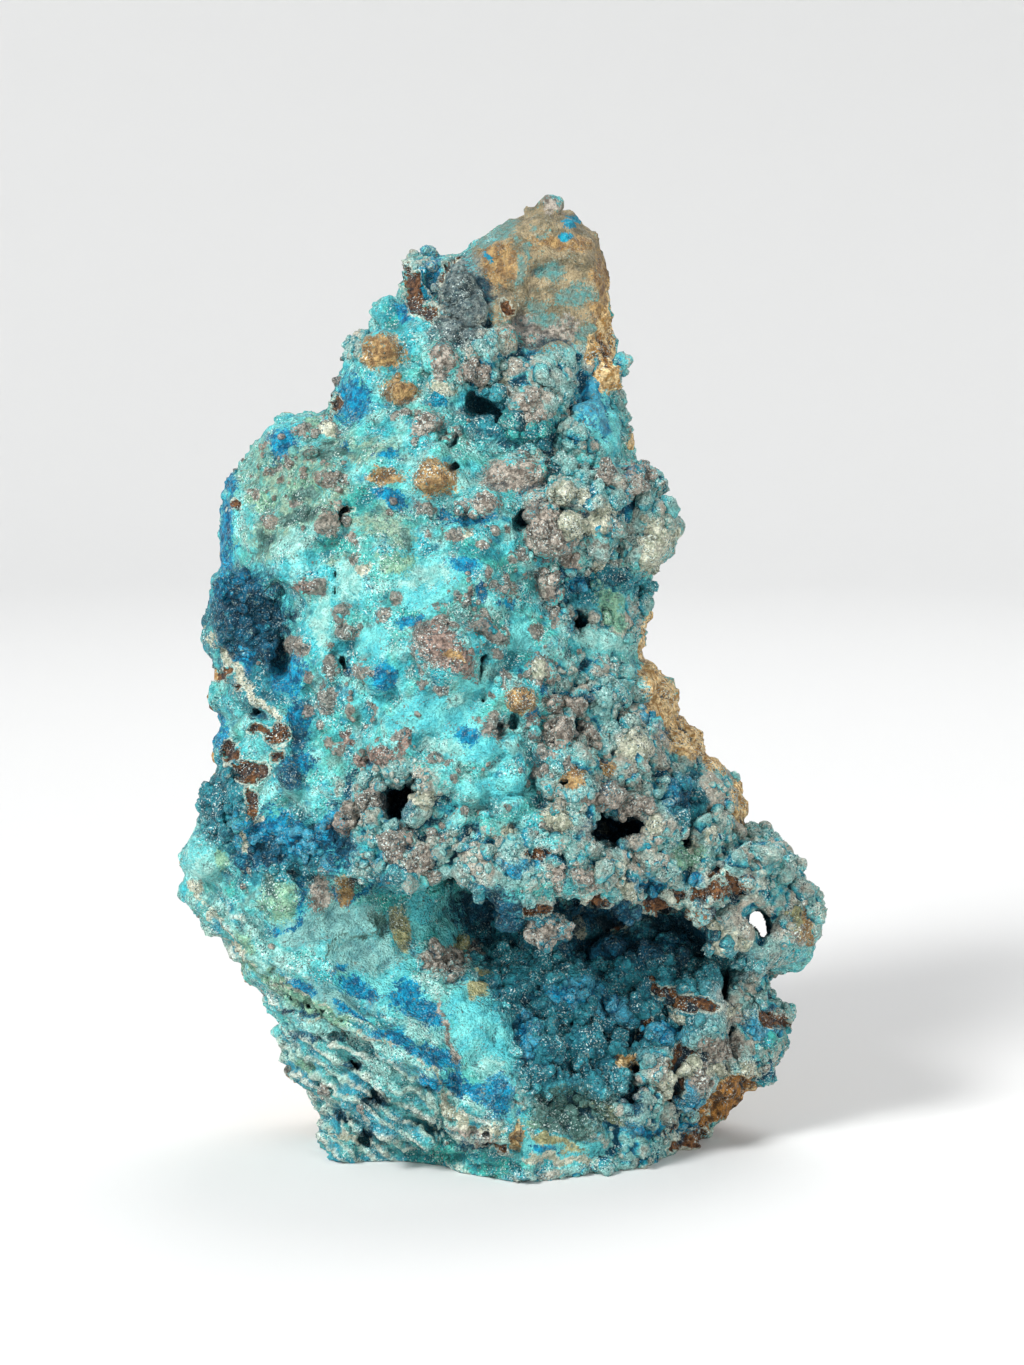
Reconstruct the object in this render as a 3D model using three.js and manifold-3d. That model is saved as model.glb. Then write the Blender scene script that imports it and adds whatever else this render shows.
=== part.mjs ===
// Serpierite specimen: a crust of blue-green copper minerals and botryoidal druse on broken ochre rock.
// It grew as one piece, so it is one closed solid. It stands upright on a flat base.
// Millimetres, +Z up, the crusted front faces -Y, and the origin is under the middle of the base's box.
import * as THREE from 'three';
import { mergeVertices } from 'three/addons/utils/BufferGeometryUtils.js';
import Module from 'manifold-3d';

// Driving dimensions
const PIXEL = 0.1525; // one pixel of the reference view at the specimen's middle
const PICTURE_CENTRE = [512, 682.5]; // pixels
const VIEW_DISTANCE = 600; // from the eye to the middle of the specimen
const VIEW_TILT = THREE.MathUtils.degToRad(8); // the eye looks down by this much
const LIFT = 70.6; // height of the picture's centre over the base
const CENTRE_SHIFT = [1.85, 0.6]; // moves the box's middle over the origin, along X and Y

// Sampling of the surface: fine cells at the front, wider ones towards the back
const CELL = 2.4;
const CELL_DEPTH = 2.4;
const NEAR = 38;
const FAR = -40;
const BACK_SPREAD = 2.6; // how much wider the cells are at the far end
const MARGIN = 3; // cells around the outline
const UNDER_BASE = 1.5; // how far the sampled body reaches below the flat base
const WELL_OUTSIDE = 6; // beyond this the outline alone gives the distance
const FILLED = -0.05; // value given to a corner that is filled

// The outline in the reference view, clockwise from the top, in pixels
const OUTLINE = [
  [541, 201], [553, 198], [562, 212], [573, 213], [583, 226], [598, 238], [602, 257], [609, 276],
  [611, 305], [613, 335], [617, 353], [615, 378], [616, 400], [624, 425], [633, 442], [635, 462],
  [648, 466], [660, 488], [656, 500], [670, 512], [679, 528], [671, 552], [652, 574], [642, 590],
  [645, 617], [647, 640], [643, 656], [659, 670], [670, 690], [680, 720], [701, 730], [700, 750],
  [722, 768], [744, 792], [745, 812], [745, 835], [762, 831], [784, 847], [794, 872], [813, 898],
  [821, 908], [816, 925], [811, 955], [802, 966], [790, 967], [770, 973], [764, 985], [775, 1002],
  [790, 1017], [779, 1030], [782, 1043], [775, 1060], [760, 1078], [750, 1088], [741, 1080],
  [720, 1097], [707, 1115], [706, 1135], [700, 1210],
  [322, 1210], [317, 1137], [323, 1112], [308, 1092], [288, 1070], [283, 1040], [280, 1022],
  [269, 1010], [262, 993], [247, 980], [234, 957], [214, 930], [203, 905], [188, 888], [180, 860],
  [192, 838], [204, 818], [204, 792], [217, 770], [213, 750], [224, 722], [211, 705], [216, 685],
  [214, 655], [204, 636], [207, 610], [213, 578], [222, 566], [219, 528], [225, 485], [238, 468],
  [250, 447], [272, 428], [278, 414], [310, 414], [328, 412], [335, 392], [342, 367], [349, 352],
  [370, 330], [373, 311], [384, 313], [396, 300], [403, 280], [409, 256], [433, 257], [463, 254],
  [484, 235], [508, 222], [526, 216],
];

// Depth of the upper crust's face at hand-picked places: pixel x, pixel y, mm towards the eye
const UPPER_FACE = [
  [548, 212, -3], [600, 250, -3], [540, 250, 2], [540, 300, 3], [610, 330, -5], [480, 270, 3],
  [420, 275, 2], [465, 320, 5], [383, 352, 9], [440, 360, 12], [350, 395, 8], [500, 370, 9],
  [560, 370, 7], [610, 390, -1], [530, 415, 14], [590, 430, 9], [480, 430, 13],
  [545, 530, 19], [600, 500, 18], [660, 520, 8], [640, 480, 8], [620, 555, 12], [560, 600, 15],
  [610, 640, 11], [283, 440, 8], [250, 480, 6], [385, 472, 18], [440, 480, 20], [500, 520, 22],
  [330, 500, 17], [300, 560, 18], [390, 570, 24], [470, 580, 27], [400, 650, 28], [455, 650, 29],
  [540, 640, 22], [522, 697, 27], [480, 760, 30], [400, 740, 28], [330, 650, 20], [345, 720, 21],
  [260, 620, 11], [235, 672, 12], [240, 560, 10], [230, 520, 6], [245, 765, 14], [212, 720, 5],
  [300, 720, 15], [330, 790, 20], [280, 830, 16], [208, 855, 9], [240, 860, 13], [400, 850, 27],
  [350, 860, 20], [480, 860, 29], [560, 860, 28], [560, 780, 26], [600, 700, 17], [630, 745, 19],
  [642, 690, 5], [690, 735, -7], [700, 800, 9], [738, 800, -5], [650, 830, 20], [700, 880, 15],
  [760, 860, 9], [800, 920, 2], [780, 960, 4], [740, 930, 9],
];

// Flat face of the tower: a place on it with its depth, slope across and up, and the ellipses it covers
const SLAB = {
  through: [550, 290, 3],
  slope: [-0.1, -0.08],
  ellipses: [[545, 290, 64, 60], [500, 262, 32, 26], [590, 280, 24, 70], [548, 232, 56, 34]],
};
const SLAB_EDGE = [0.1, 0.9]; // shares of an ellipse (0.5 its edge, 1 its middle) from and to
const SLAB_CALM = 0.8; // share of the unevenness that it lacks

// Depth of the bowl's face under the ledge, and of the foot
const LOWER_FACE = [
  [190, 895, 7], [287, 898, 15], [350, 915, 14], [410, 925, 8], [480, 925, -5], [600, 935, -9],
  [690, 925, -7], [745, 960, -5], [360, 955, 13], [300, 965, 18], [235, 935, 12], [330, 1003, 21],
  [400, 1000, 18], [470, 1030, 19], [430, 1072, 24], [400, 1048, 24], [485, 1100, 24],
  [290, 1020, 13], [292, 1060, 9], [340, 1080, 16], [325, 1125, 8], [345, 1160, 4], [400, 1125, 17],
  [400, 1160, 4], [435, 1164, 7], [480, 1178, 15], [480, 1140, 23], [515, 1187, 20], [545, 1186, 20],
  [560, 1174, 14], [570, 1115, 16], [545, 1150, 23], [600, 1172, 13], [600, 1010, 8], [540, 990, 8],
  [640, 970, 2], [700, 1000, 6], [750, 1000, 2], [780, 1025, -3], [700, 1080, 7], [750, 1065, 0],
  [640, 1090, 12], [640, 1170, 11], [680, 1156, 2], [697, 1146, -2], [702, 1112, -2],
];

// Broken faces of the rock behind: pixel x, pixel y, depth there, and its slope across and up
const BACK_FACES = [
  { name: 'middle', through: [450, 700, -31], slope: [0.03, 0.02] },
  { name: 'upper', through: [500, 450, -27.5], slope: [0.02, 0.22] },
  { name: 'left', through: [300, 700, -27], slope: [-0.55, 0.04] },
  { name: 'upper left', through: [360, 420, -21], slope: [-0.42, 0.25] },
  { name: 'right', through: [600, 800, -26], slope: [0.45, 0.06] },
  { name: 'upper right', through: [600, 560, -25], slope: [0.5, 0.12] },
  { name: 'lower right', through: [690, 1050, -24], slope: [0.52, -0.1] },
  { name: 'lower left', through: [330, 1000, -23], slope: [-0.45, -0.22] },
];

// Depth at which the sides turn from front to back
const RIM = [
  [550, 200, -9], [615, 340, -13], [350, 360, -4], [225, 500, -5], [205, 640, -5], [185, 860, -3],
  [235, 950, -1], [285, 1060, -4], [670, 530, -5], [645, 640, -11], [685, 720, -14], [745, 810, -13],
  [820, 920, -5], [785, 1030, -9], [705, 1120, -12],
];

// Lower edge of the overhanging crust, left to right; under it lies a cave
const LIP = [
  [150, 868], [255, 873], [300, 872], [350, 880], [410, 876], [455, 876], [488, 900], [512, 914],
  [548, 896], [600, 903], [660, 914], [705, 902], [722, 906], [733, 944], [765, 972], [850, 990],
];
const ROOF_RISE = 0.28; // how fast the cave's roof rises towards the back
const ROOF_MOST = 6; // how far above the lip the roof can get
const LIP_CLEAR = 10; // how far the bowl goes up behind the ledge

// Rounding of the front's edges: pixel x, pixel y, mm
const FRONT_ROUNDING = [
  [550, 230, 3], [600, 300, 2], [420, 270, 4], [350, 380, 6], [240, 480, 9], [215, 620, 9], [200, 860, 6],
  [250, 960, 5], [300, 1090, 6], [660, 520, 5], [645, 640, 6], [700, 740, 7], [790, 880, 6], [770, 1040, 6],
  [500, 700, 9],
];
const BACK_ROUNDING = 7;
const FACE_SOFTNESS = 5; // how far one depth blends into the next
const JOIN_SOFTNESS = 1.4; // between the ledge and the bowl
const LUMP_SOFTNESS = 0.8;
const RIDGE_SOFTNESS = 1.2;
const HOLLOW_SOFTNESS = 0.8;

// Hollows cut into the crust: place in pixels, depth of the middle, half sizes across, up and deep
const HOLLOWS = [
  { name: 'cave under the tower', at: [484, 408], depth: 9, size: [3.0, 2.2, 7] },
  { name: 'right end of that cave', at: [502, 420], depth: 9, size: [2.4, 1.5, 5] },
  { name: 'pit in the left tower', at: [432, 280], depth: 4, size: [1.6, 3.4, 4] },
  { name: 'pocket left of the tower', at: [384, 398], depth: 14, size: [2.2, 2.2, 5] },
  { name: 'hole in the grape cluster', at: [526, 520], depth: 21, size: [1.9, 1.9, 5] },
  { name: 'recess under the grape cluster', at: [596, 590], depth: 17, size: [6.2, 4.4, 6.5] },
  { name: 'lower part of that recess', at: [610, 612], depth: 15, size: [4.4, 5.0, 5] },
  { name: 'throat of that recess', at: [577, 622], depth: 14, size: [2.0, 2.2, 9] },
  { name: 'left hollow', at: [262, 612], depth: 19, size: [7.2, 6.6, 10] },
  { name: 'left crease', at: [280, 648], depth: 15, size: [2.0, 5.4, 7] },
  { name: 'rusty bowl', at: [252, 758], depth: 19, size: [4.4, 4.6, 6] },
  { name: 'blue hollow', at: [303, 712], depth: 21, size: [3.4, 5.2, 6] },
  { name: 'dark flank hollow', at: [338, 836], depth: 25, size: [3.2, 4.4, 6] },
  { name: 'teal hollow on the dome', at: [408, 615], depth: 31, size: [3.0, 2.6, 4] },
  { name: 'fold on the dome', at: [398, 536], depth: 26, size: [5.2, 1.6, 3.4] },
  { name: 'first black hole', at: [399, 801], depth: 24, size: [3.4, 3.5, 16] },
  { name: 'second black hole', at: [615, 832], depth: 20, size: [4.6, 3.6, 15] },
  { name: 'hollow by the cream lump', at: [660, 772], depth: 16, size: [3.4, 2.4, 6] },
  { name: 'olive hollow at the foot', at: [574, 1108], depth: 20, size: [5.0, 3.4, 6] },
  { name: 'pit at the foot', at: [632, 1092], depth: 14, size: [1.5, 2.4, 5] },
  { name: 'hollow between the laminations', at: [372, 1104], depth: 20, size: [2.6, 1.7, 4] },
  { name: 'lower lamination hollow', at: [342, 1120], depth: 16, size: [2.8, 1.6, 4] },
];

// Gap that goes right through the right end: middle in pixels, half sizes, and the depths it runs between
const GAP = { at: [757, 924], size: [2.0, 2.7], front: 24, back: -40, sides: 10 };

// Lumps grown on the crust: place in pixels, radius, and how far the middle stands out of the face
const LUMPS = [
  { name: 'nub on top', at: [551, 206], r: 1.9, out: -0.5 },
  { name: 'second nub on top', at: [532, 214], r: 1.4, out: 0 },
  { name: 'ochre lump', at: [383, 352], r: 3.4, out: -0.6 },
  { name: 'pink lump', at: [440, 358], r: 2.8, out: 0 },
  { name: 'pink lump below it', at: [441, 388], r: 1.9, out: 0.5 },
  { name: 'brown porous corner', at: [586, 352], r: 2.4, out: 0 },
  { name: 'curled shell', at: [392, 316], r: 2.8, out: -0.5 },
  { name: 'pink lump over the cave', at: [530, 414], r: 2.7, out: 0.4 },
  { name: 'grape left', at: [545, 530], r: 3.2, out: 0.6 },
  { name: 'grape middle', at: [590, 524], r: 2.6, out: 0.8 },
  { name: 'grape cream', at: [560, 492], r: 1.9, out: 1 },
  { name: 'grape above', at: [600, 514], r: 1.7, out: 1.4 },
  { name: 'grape right', at: [625, 490], r: 2.1, out: 0.8 },
  { name: 'grape outer', at: [663, 522], r: 2.6, out: 0.4 },
  { name: 'grape top right', at: [650, 480], r: 1.9, out: 0.4 },
  { name: 'grape low', at: [570, 556], r: 2.0, out: 0.6 },
  { name: 'grape low right', at: [655, 545], r: 2.2, out: 0.3 },
  { name: 'big grey-pink lump', at: [518, 476], r: 4.2, out: -1.2 },
  { name: 'lump on the shoulder', at: [485, 500], r: 2.2, out: 0.4 },
  { name: 'blue lump at the left top', at: [283, 440], r: 2.6, out: 0 },
  { name: 'orange patch', at: [432, 478], r: 3.0, out: -0.8 },
  { name: 'broken nodule', at: [330, 480], r: 2.4, out: 0 },
  { name: 'pitted nodule', at: [326, 524], r: 2.6, out: 0 },
  { name: 'big brown lump', at: [450, 652], r: 5.0, out: -1.4 },
  { name: 'tan knob', at: [522, 697], r: 2.2, out: 1.1 },
  { name: 'nodule on the left slope', at: [328, 668], r: 1.9, out: 0.4 },
  { name: 'blue crystal lump', at: [379, 680], r: 2.2, out: 0.6 },
  { name: 'nodule beside it', at: [365, 672], r: 1.5, out: 0.6 },
  { name: 'cream lump', at: [630, 745], r: 3.0, out: 0.2 },
  { name: 'pink-brown lump', at: [590, 735], r: 2.3, out: 0.3 },
  { name: 'lump beside it', at: [555, 730], r: 2.2, out: 0.3 },
  { name: 'tan lump', at: [570, 776], r: 2.4, out: 0.4 },
  { name: 'lump at the second hole', at: [595, 800], r: 1.9, out: 0.4 },
  { name: 'grey sphere', at: [655, 822], r: 2.1, out: 0.6 },
  { name: 'blue ball at the left', at: [292, 776], r: 2.6, out: 0.4 },
  { name: 'left edge bulb', at: [218, 696], r: 1.9, out: 0.5 },
  { name: 'blue bulb below', at: [232, 738], r: 2.4, out: 0.3 },
  { name: 'smooth grey blob', at: [208, 856], r: 3.6, out: -1 },
  { name: 'round yellow-green lump', at: [285, 898], r: 3.2, out: -0.4, low: true },
  { name: 'lump in the cave', at: [545, 932], r: 3.2, out: -0.6, low: true },
  { name: 'lump deeper in the cave', at: [583, 930], r: 1.7, out: 0, low: true },
  { name: 'cream lump at the right end', at: [735, 918], r: 2.4, out: 0.4 },
  { name: 'pink lump at the right end', at: [722, 944], r: 2.2, out: 0.4 },
  { name: 'tan lump at the right tip', at: [803, 926], r: 2.4, out: 0 },
  { name: 'pink lump at the foot', at: [560, 1092], r: 2.2, out: 0.3, low: true },
  { name: 'foot of the left rim', at: [345, 1148], r: 3.0, out: 0, low: true },
];

// Ridges: routes in pixels, radius, and how far the middle stands out of the face
const RIDGES = [
  { name: 'cream seam', r: 1.2, out: 0.3, route: [[208, 640], [235, 672], [250, 694], [285, 716]] },
  { name: 'tower step', r: 0.9, out: 0.3, route: [[522, 262], [545, 257], [584, 258]] },
  { name: 'tower rib', r: 1.3, out: 0, route: [[520, 258], [520, 296]] },
  {
    name: 'ring of the rusty bowl', r: 1.4, out: 0.2,
    route: [[228, 740], [252, 722], [282, 736], [280, 786], [250, 812]],
  },
  { name: 'smooth band on the dome', r: 1.6, out: -0.2, route: [[430, 536], [480, 542], [522, 566]] },
  { name: 'stalactite', r: 1.2, out: 0.5, route: [[620, 868], [632, 888], [627, 905]] },
  { name: 'pink stalactite', r: 1.5, out: 1.5, low: true, route: [[540, 925], [555, 945]] },
  {
    name: 'bowl rim', r: 2.0, out: 0.2, low: true,
    route: [[190, 890], [215, 915], [260, 950], [300, 975], [330, 1004], [400, 1052], [432, 1072]],
  },
  {
    name: 'bowl rim foot', r: 1.8, out: 0, low: true,
    route: [[432, 1072], [445, 1104], [470, 1122], [505, 1130]],
  },
  {
    name: 'second lamination', r: 1.5, out: 0.4, low: true,
    route: [[283, 1032], [345, 1044], [400, 1088], [440, 1118]],
  },
  {
    name: 'third lamination', r: 1.5, out: 0.4, low: true,
    route: [[300, 1078], [350, 1096], [390, 1128], [450, 1146]],
  },
  { name: 'fold at the foot', r: 1.8, out: 0.6, low: true, route: [[456, 1126], [490, 1132], [506, 1140]] },
  { name: 'brown seam in the bowl', r: 1.0, out: 0, low: true, route: [[310, 955], [345, 930], [375, 932]] },
  { name: 'grey ridge', r: 1.5, out: 0.6, low: true, route: [[580, 1090], [602, 1108], [622, 1130]] },
  { name: 'brown seam', r: 1.3, out: 0.4, low: true, route: [[655, 990], [690, 998], [716, 1016]] },
  { name: 'ochre rind', r: 1.6, out: 0, low: true, route: [[700, 1128], [712, 1104], [742, 1080]] },
];

// Patches of grape-like nodules: middle in pixels, half sizes in pixels, and which face they grow on
const NODULE_PATCHES = [
  { name: 'below the tower', at: [565, 400], size: [62, 58] },
  { name: 'grape cluster', at: [605, 512], size: [72, 52] },
  { name: 'right flank', at: [640, 790], size: [92, 105] },
  { name: 'ledge', at: [480, 820], size: [115, 78] },
  { name: 'right end', at: [752, 895], size: [64, 66] },
  { name: 'left tower foot', at: [470, 315], size: [34, 62] },
  { name: 'lower right', at: [650, 1050], size: [120, 105], low: true },
];
const NODULE_PITCH = 5.0;
const NODULE_RADIUS = [2.0, 3.1];
const NODULE_JITTER = 0.8; // share of the pitch by which a nodule leaves its lattice place
const NODULE_OUT = 0.1; // share of the radius by which its middle stands out of the face

// Unevenness of the broken rock: wavelength and height of each wave
const WAVES = [[21, 0.8], [12.5, 0.55], [7.4, 0.33]];
const SIDE_WAVE = 13; // wavelength of the lumps on the sides
const SIDE_WAVE_HEIGHT = 1.1;
const SIDE_WAVE_START = 7; // they reach full height this far from the rim

// Reference view: pixels to millimetres in the picture plane
const toPlane = ([px, py]) => [(px - PICTURE_CENTRE[0]) * PIXEL, (PICTURE_CENTRE[1] - py) * PIXEL];

// From across, up and towards the eye to the specimen's own frame
function toWorld([across, up, near]) {
  const shrink = 1 - near / VIEW_DISTANCE;
  const height = up * shrink;
  return [
    across * shrink + CENTRE_SHIFT[0],
    height * Math.sin(VIEW_TILT) - near * Math.cos(VIEW_TILT) + CENTRE_SHIFT[1],
    height * Math.cos(VIEW_TILT) + near * Math.sin(VIEW_TILT) + LIFT,
  ];
}

// A repeatable number from 0 to 1 for two whole numbers
function scatter(i, j) {
  const value = Math.sin(i * 127.1 + j * 311.7) * 43758.5453;
  return value - Math.floor(value);
}

// Smooth joins and cuts of two distances
function join(a, b, soft) {
  const h = Math.max(soft - Math.abs(a - b), 0) / soft;
  return Math.min(a, b) - (h * h * soft) / 4;
}
const cut = (a, b, soft) => -join(-a, -b, soft);

// Depth between hand-picked places, each blending into the next
function depthBetween(places) {
  const known = places.map(([px, py, depth]) => [...toPlane([px, py]), depth]);
  return (across, up) => {
    let sum = 0;
    let weights = 0;
    for (const [x, y, depth] of known) {
      const away = (across - x) ** 2 + (up - y) ** 2 + FACE_SOFTNESS ** 2;
      const weight = 1 / (away * away);
      sum += weight * depth;
      weights += weight;
    }
    return sum / weights;
  };
}

const upperDepth = depthBetween(UPPER_FACE);
const lowerDepth = depthBetween(LOWER_FACE);
const rimDepth = depthBetween(RIM);
const frontRounding = depthBetween(FRONT_ROUNDING);

// Depth of a flat face at a place
function planeDepth({ through: [px, py, depth], slope }, x, y) {
  const [ax, ay] = toPlane([px, py]);
  return depth + slope[0] * (x - ax) + slope[1] * (y - ay);
}
const backDepth = (x, y) => Math.max(...BACK_FACES.map((face) => planeDepth(face, x, y)));

// 1 on the flat face of the tower, 0 away from it
function slabShare(x, y) {
  const depths = SLAB.ellipses.map(([px, py, wide, high]) => {
    const [ax, ay] = toPlane([px, py]);
    return 1 - 0.5 * (((x - ax) / (wide * PIXEL)) ** 2 + ((y - ay) / (high * PIXEL)) ** 2);
  });
  return THREE.MathUtils.smoothstep(Math.max(...depths), ...SLAB_EDGE);
}

// Distance inside the outline, negative outside
const outlinePlane = OUTLINE.map(toPlane);
function insideOutline(x, y) {
  let nearest = Infinity;
  let inside = false;
  for (let i = 0, j = outlinePlane.length - 1; i < outlinePlane.length; j = i++) {
    const [ax, ay] = outlinePlane[j];
    const [bx, by] = outlinePlane[i];
    const dx = bx - ax;
    const dy = by - ay;
    const along = THREE.MathUtils.clamp(((x - ax) * dx + (y - ay) * dy) / (dx * dx + dy * dy), 0, 1);
    nearest = Math.min(nearest, Math.hypot(x - ax - along * dx, y - ay - along * dy));
    if (ay > y !== by > y && x < ((bx - ax) * (y - ay)) / (by - ay) + ax) inside = !inside;
  }
  return inside ? nearest : -nearest;
}

// Height of the ledge's lower edge over a place across the front
const lipPlane = LIP.map(toPlane);
function lipHeight(x) {
  for (let i = 1; i < lipPlane.length; i++) {
    const [ax, ay] = lipPlane[i - 1];
    const [bx, by] = lipPlane[i];
    if (x <= bx) return ay + ((by - ay) * THREE.MathUtils.clamp((x - ax) / (bx - ax), 0, 1));
  }
  return lipPlane[lipPlane.length - 1][1];
}

const roundOff = (inside, radius) => {
  const t = THREE.MathUtils.clamp(inside / radius, 0, 1);
  return Math.sqrt(1 - (1 - t) ** 2);
};

// Unevenness at a place on a face
function waves(x, y, turn) {
  let sum = 0;
  WAVES.forEach(([length, height], i) => {
    const k = (2 * Math.PI) / length;
    const bend = 1.7 * Math.sin(k * 0.45 * (x - y) + turn + i);
    sum += height * Math.sin(k * x + bend + turn) * Math.cos(k * y * 0.9 - bend + 2 * turn + i);
  });
  return sum;
}

function faceDepth(x, y, inside, low) {
  const rim = rimDepth(x, y);
  const slab = slabShare(x, y);
  const face = low ? lowerDepth(x, y) : THREE.MathUtils.lerp(upperDepth(x, y), planeDepth(SLAB, x, y), slab);
  const depth = face + waves(x, y, 0.7) * (1 - SLAB_CALM * slab);
  return rim + (depth - rim) * roundOff(inside, frontRounding(x, y));
}

// Distance from a place to an egg-shaped form, near enough for joining and cutting
function egg(p, centre, size) {
  const away = p.map((value, n) => (value - centre[n]) / size[n]);
  return (Math.hypot(...away) - 1) * Math.min(...size);
}

function tube(p, route, radius) {
  let nearest = Infinity;
  for (let i = 1; i < route.length; i++) {
    const a = route[i - 1];
    const d = route[i].map((value, n) => value - a[n]);
    const along = d.reduce((sum, value, n) => sum + value * (p[n] - a[n]), 0);
    const t = THREE.MathUtils.clamp(along / d.reduce((sum, value) => sum + value * value, 0), 0, 1);
    nearest = Math.min(nearest, Math.hypot(...d.map((value, n) => p[n] - a[n] - t * value)));
  }
  return nearest - radius;
}

// Places a point of the reference view on the face it belongs to
function onFace(at, out, low) {
  const [x, y] = toPlane(at);
  return [x, y, faceDepth(x, y, insideOutline(x, y), low) + out];
}

const lumpForms = LUMPS.map(({ at, r, out, low }) => ({ centre: onFace(at, out, low), size: [r, r, r] }));
const ridgeForms = RIDGES.map(({ route, r, out, low }) => {
  return { route: route.map((at) => onFace(at, out, low)), r };
});
const hollowForms = HOLLOWS.map(({ at, depth, size }) => ({ centre: [...toPlane(at), depth], size }));

// Small nodules on a jittered lattice inside each patch
function growNodules() {
  const forms = [];
  NODULE_PATCHES.forEach(({ at, size, low, sparse = 1 }, patch) => {
    const pitch = NODULE_PITCH / PIXEL;
    for (let i = Math.ceil(-size[0] / pitch); i * pitch <= size[0]; i++) {
      for (let j = Math.ceil(-size[1] / pitch); j * pitch <= size[1]; j++) {
        const px = (i + NODULE_JITTER * (scatter(i + 50 * patch, j) - 0.5)) * pitch;
        const py = (j + NODULE_JITTER * (scatter(i, j + 50 * patch) - 0.5)) * pitch;
        const kept = scatter(i + 7, j + 13 * patch) < sparse;
        if (!kept || (px / size[0]) ** 2 + (py / size[1]) ** 2 > 1) continue;
        const spread = scatter(i + 31 * patch, j + 17);
        const r = NODULE_RADIUS[0] + (NODULE_RADIUS[1] - NODULE_RADIUS[0]) * spread;
        const place = [at[0] + px, at[1] + py];
        if (insideOutline(...toPlane(place)) < r / 2) continue;
        forms.push({ centre: onFace(place, NODULE_OUT * r, low), size: [r, r, r] });
      }
    }
  });
  return forms;
}
const noduleForms = growNodules();

// Lumps of the sides, which fade out at the rim so that the outline keeps its place
function sideLumps([x, y, near], rim) {
  const k = (2 * Math.PI) / SIDE_WAVE;
  const fade = Math.min(Math.abs(near - rim) / SIDE_WAVE_START, 1);
  const broad = Math.sin(k * (y + 0.3 * near)) * Math.sin(k * (near * 1.1 + 0.25 * x));
  const narrow = 0.5 * Math.sin(k * 1.9 * (x - y));
  return SIDE_WAVE_HEIGHT * fade * (broad + narrow);
}

// The whole specimen as one distance, negative inside
function rock(p) {
  const [x, y, near] = p;
  const inside = insideOutline(x, y);
  if (inside < -WELL_OUTSIDE) return -inside;
  const rim = rimDepth(x, y);
  const behind = rim + (backDepth(x, y) + waves(x, y, 2.1) - rim) * roundOff(inside, BACK_ROUNDING);
  const shell = Math.max(behind - near, sideLumps(p, rim) - inside);
  const face = faceDepth(x, y, inside, false);
  const lip = lipHeight(x);
  const roof = lip + Math.min(ROOF_RISE * (face - near), ROOF_MOST) - y;
  const upper = cut(Math.max(near - face, shell), roof, JOIN_SOFTNESS);
  const bowl = Math.max(near - faceDepth(x, y, inside, true), shell, y - lip - LIP_CLEAR);
  let value = join(upper, bowl, JOIN_SOFTNESS);
  for (const { centre, size } of [...lumpForms, ...noduleForms]) {
    const close = Math.hypot(x - centre[0], y - centre[1]) < size[0] + 2 * CELL;
    if (close) value = join(value, egg(p, centre, size), LUMP_SOFTNESS);
  }
  for (const { route, r } of ridgeForms) value = join(value, tube(p, route, r), RIDGE_SOFTNESS);
  for (const { centre, size } of hollowForms) value = cut(value, -egg(p, centre, size), HOLLOW_SOFTNESS);
  return value;
}

// Grid places: cells widen towards the back
const corners = outlinePlane.reduce(
  (box, [x, y]) => [Math.min(box[0], x), Math.min(box[1], y), Math.max(box[2], x), Math.max(box[3], y)],
  [Infinity, Infinity, -Infinity, -Infinity],
);
const middle = [(corners[0] + corners[2]) / 2, (corners[1] + corners[3]) / 2];
const counts = [
  Math.ceil((corners[2] - corners[0]) / CELL) + 2 * MARGIN,
  Math.ceil((corners[3] - corners[1]) / CELL) + 2 * MARGIN,
  Math.ceil((NEAR - FAR) / (CELL_DEPTH * 1.25)),
];
function gridPlace(i, j, k) {
  const t = k / (counts[2] - 1);
  const near = NEAR - (NEAR - FAR) * (0.75 * t + 0.25 * t * t);
  const spread = 1 + (BACK_SPREAD - 1) * t * t;
  return [
    middle[0] + (i - (counts[0] - 1) / 2) * CELL * spread,
    middle[1] + (j - (counts[1] - 1) / 2) * CELL * spread,
    near,
  ];
}
const index = (i, j, k) => (k * counts[1] + j) * counts[0] + i;

function sampleField() {
  const places = [];
  const values = new Float64Array(counts[0] * counts[1] * counts[2]);
  for (let k = 0; k < counts[2]; k++) {
    for (let j = 0; j < counts[1]; j++) {
      for (let i = 0; i < counts[0]; i++) {
        const p = gridPlace(i, j, k);
        const floor = -toWorld(p)[2] - UNDER_BASE;
        places.push(p);
        values[index(i, j, k)] = Math.max(rock(p), floor) || 1e-6;
      }
    }
  }
  return { places, values };
}

// Corners of a cell, counted by bits across, up and deep, and the edges between them
const CELL_CORNERS = Array.from({ length: 8 }, (_, n) => [n & 1, (n >> 1) & 1, n >> 2]);
const CELL_EDGES = [];
for (let a = 0; a < 8; a++) {
  for (const bit of [1, 2, 4]) if (!(a & bit)) CELL_EDGES.push([a, a | bit]);
}

// Whether the chosen corners of a cell hang together along its edges
function connected(mask) {
  let seen = mask & -mask;
  for (let before = 0; seen !== before; ) {
    before = seen;
    for (const [a, b] of CELL_EDGES) {
      const both = (1 << a) | (1 << b);
      if ((mask & both) === both && seen & both) seen |= both;
    }
  }
  return seen === mask;
}
const UNCLEAR = Array.from({ length: 256 }, (_, mask) => !connected(mask) || !connected(255 - mask));

const cornerOf = (i, j, k, [a, b, c]) => index(i + a, j + b, k + c);

function cellMask(values, i, j, k) {
  return CELL_CORNERS.reduce((mask, corner, n) => mask | ((values[cornerOf(i, j, k, corner)] < 0) << n), 0);
}

function eachCell(action) {
  for (let k = 0; k < counts[2] - 1; k++) {
    for (let j = 0; j < counts[1] - 1; j++) for (let i = 0; i < counts[0] - 1; i++) action(i, j, k);
  }
}

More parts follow.
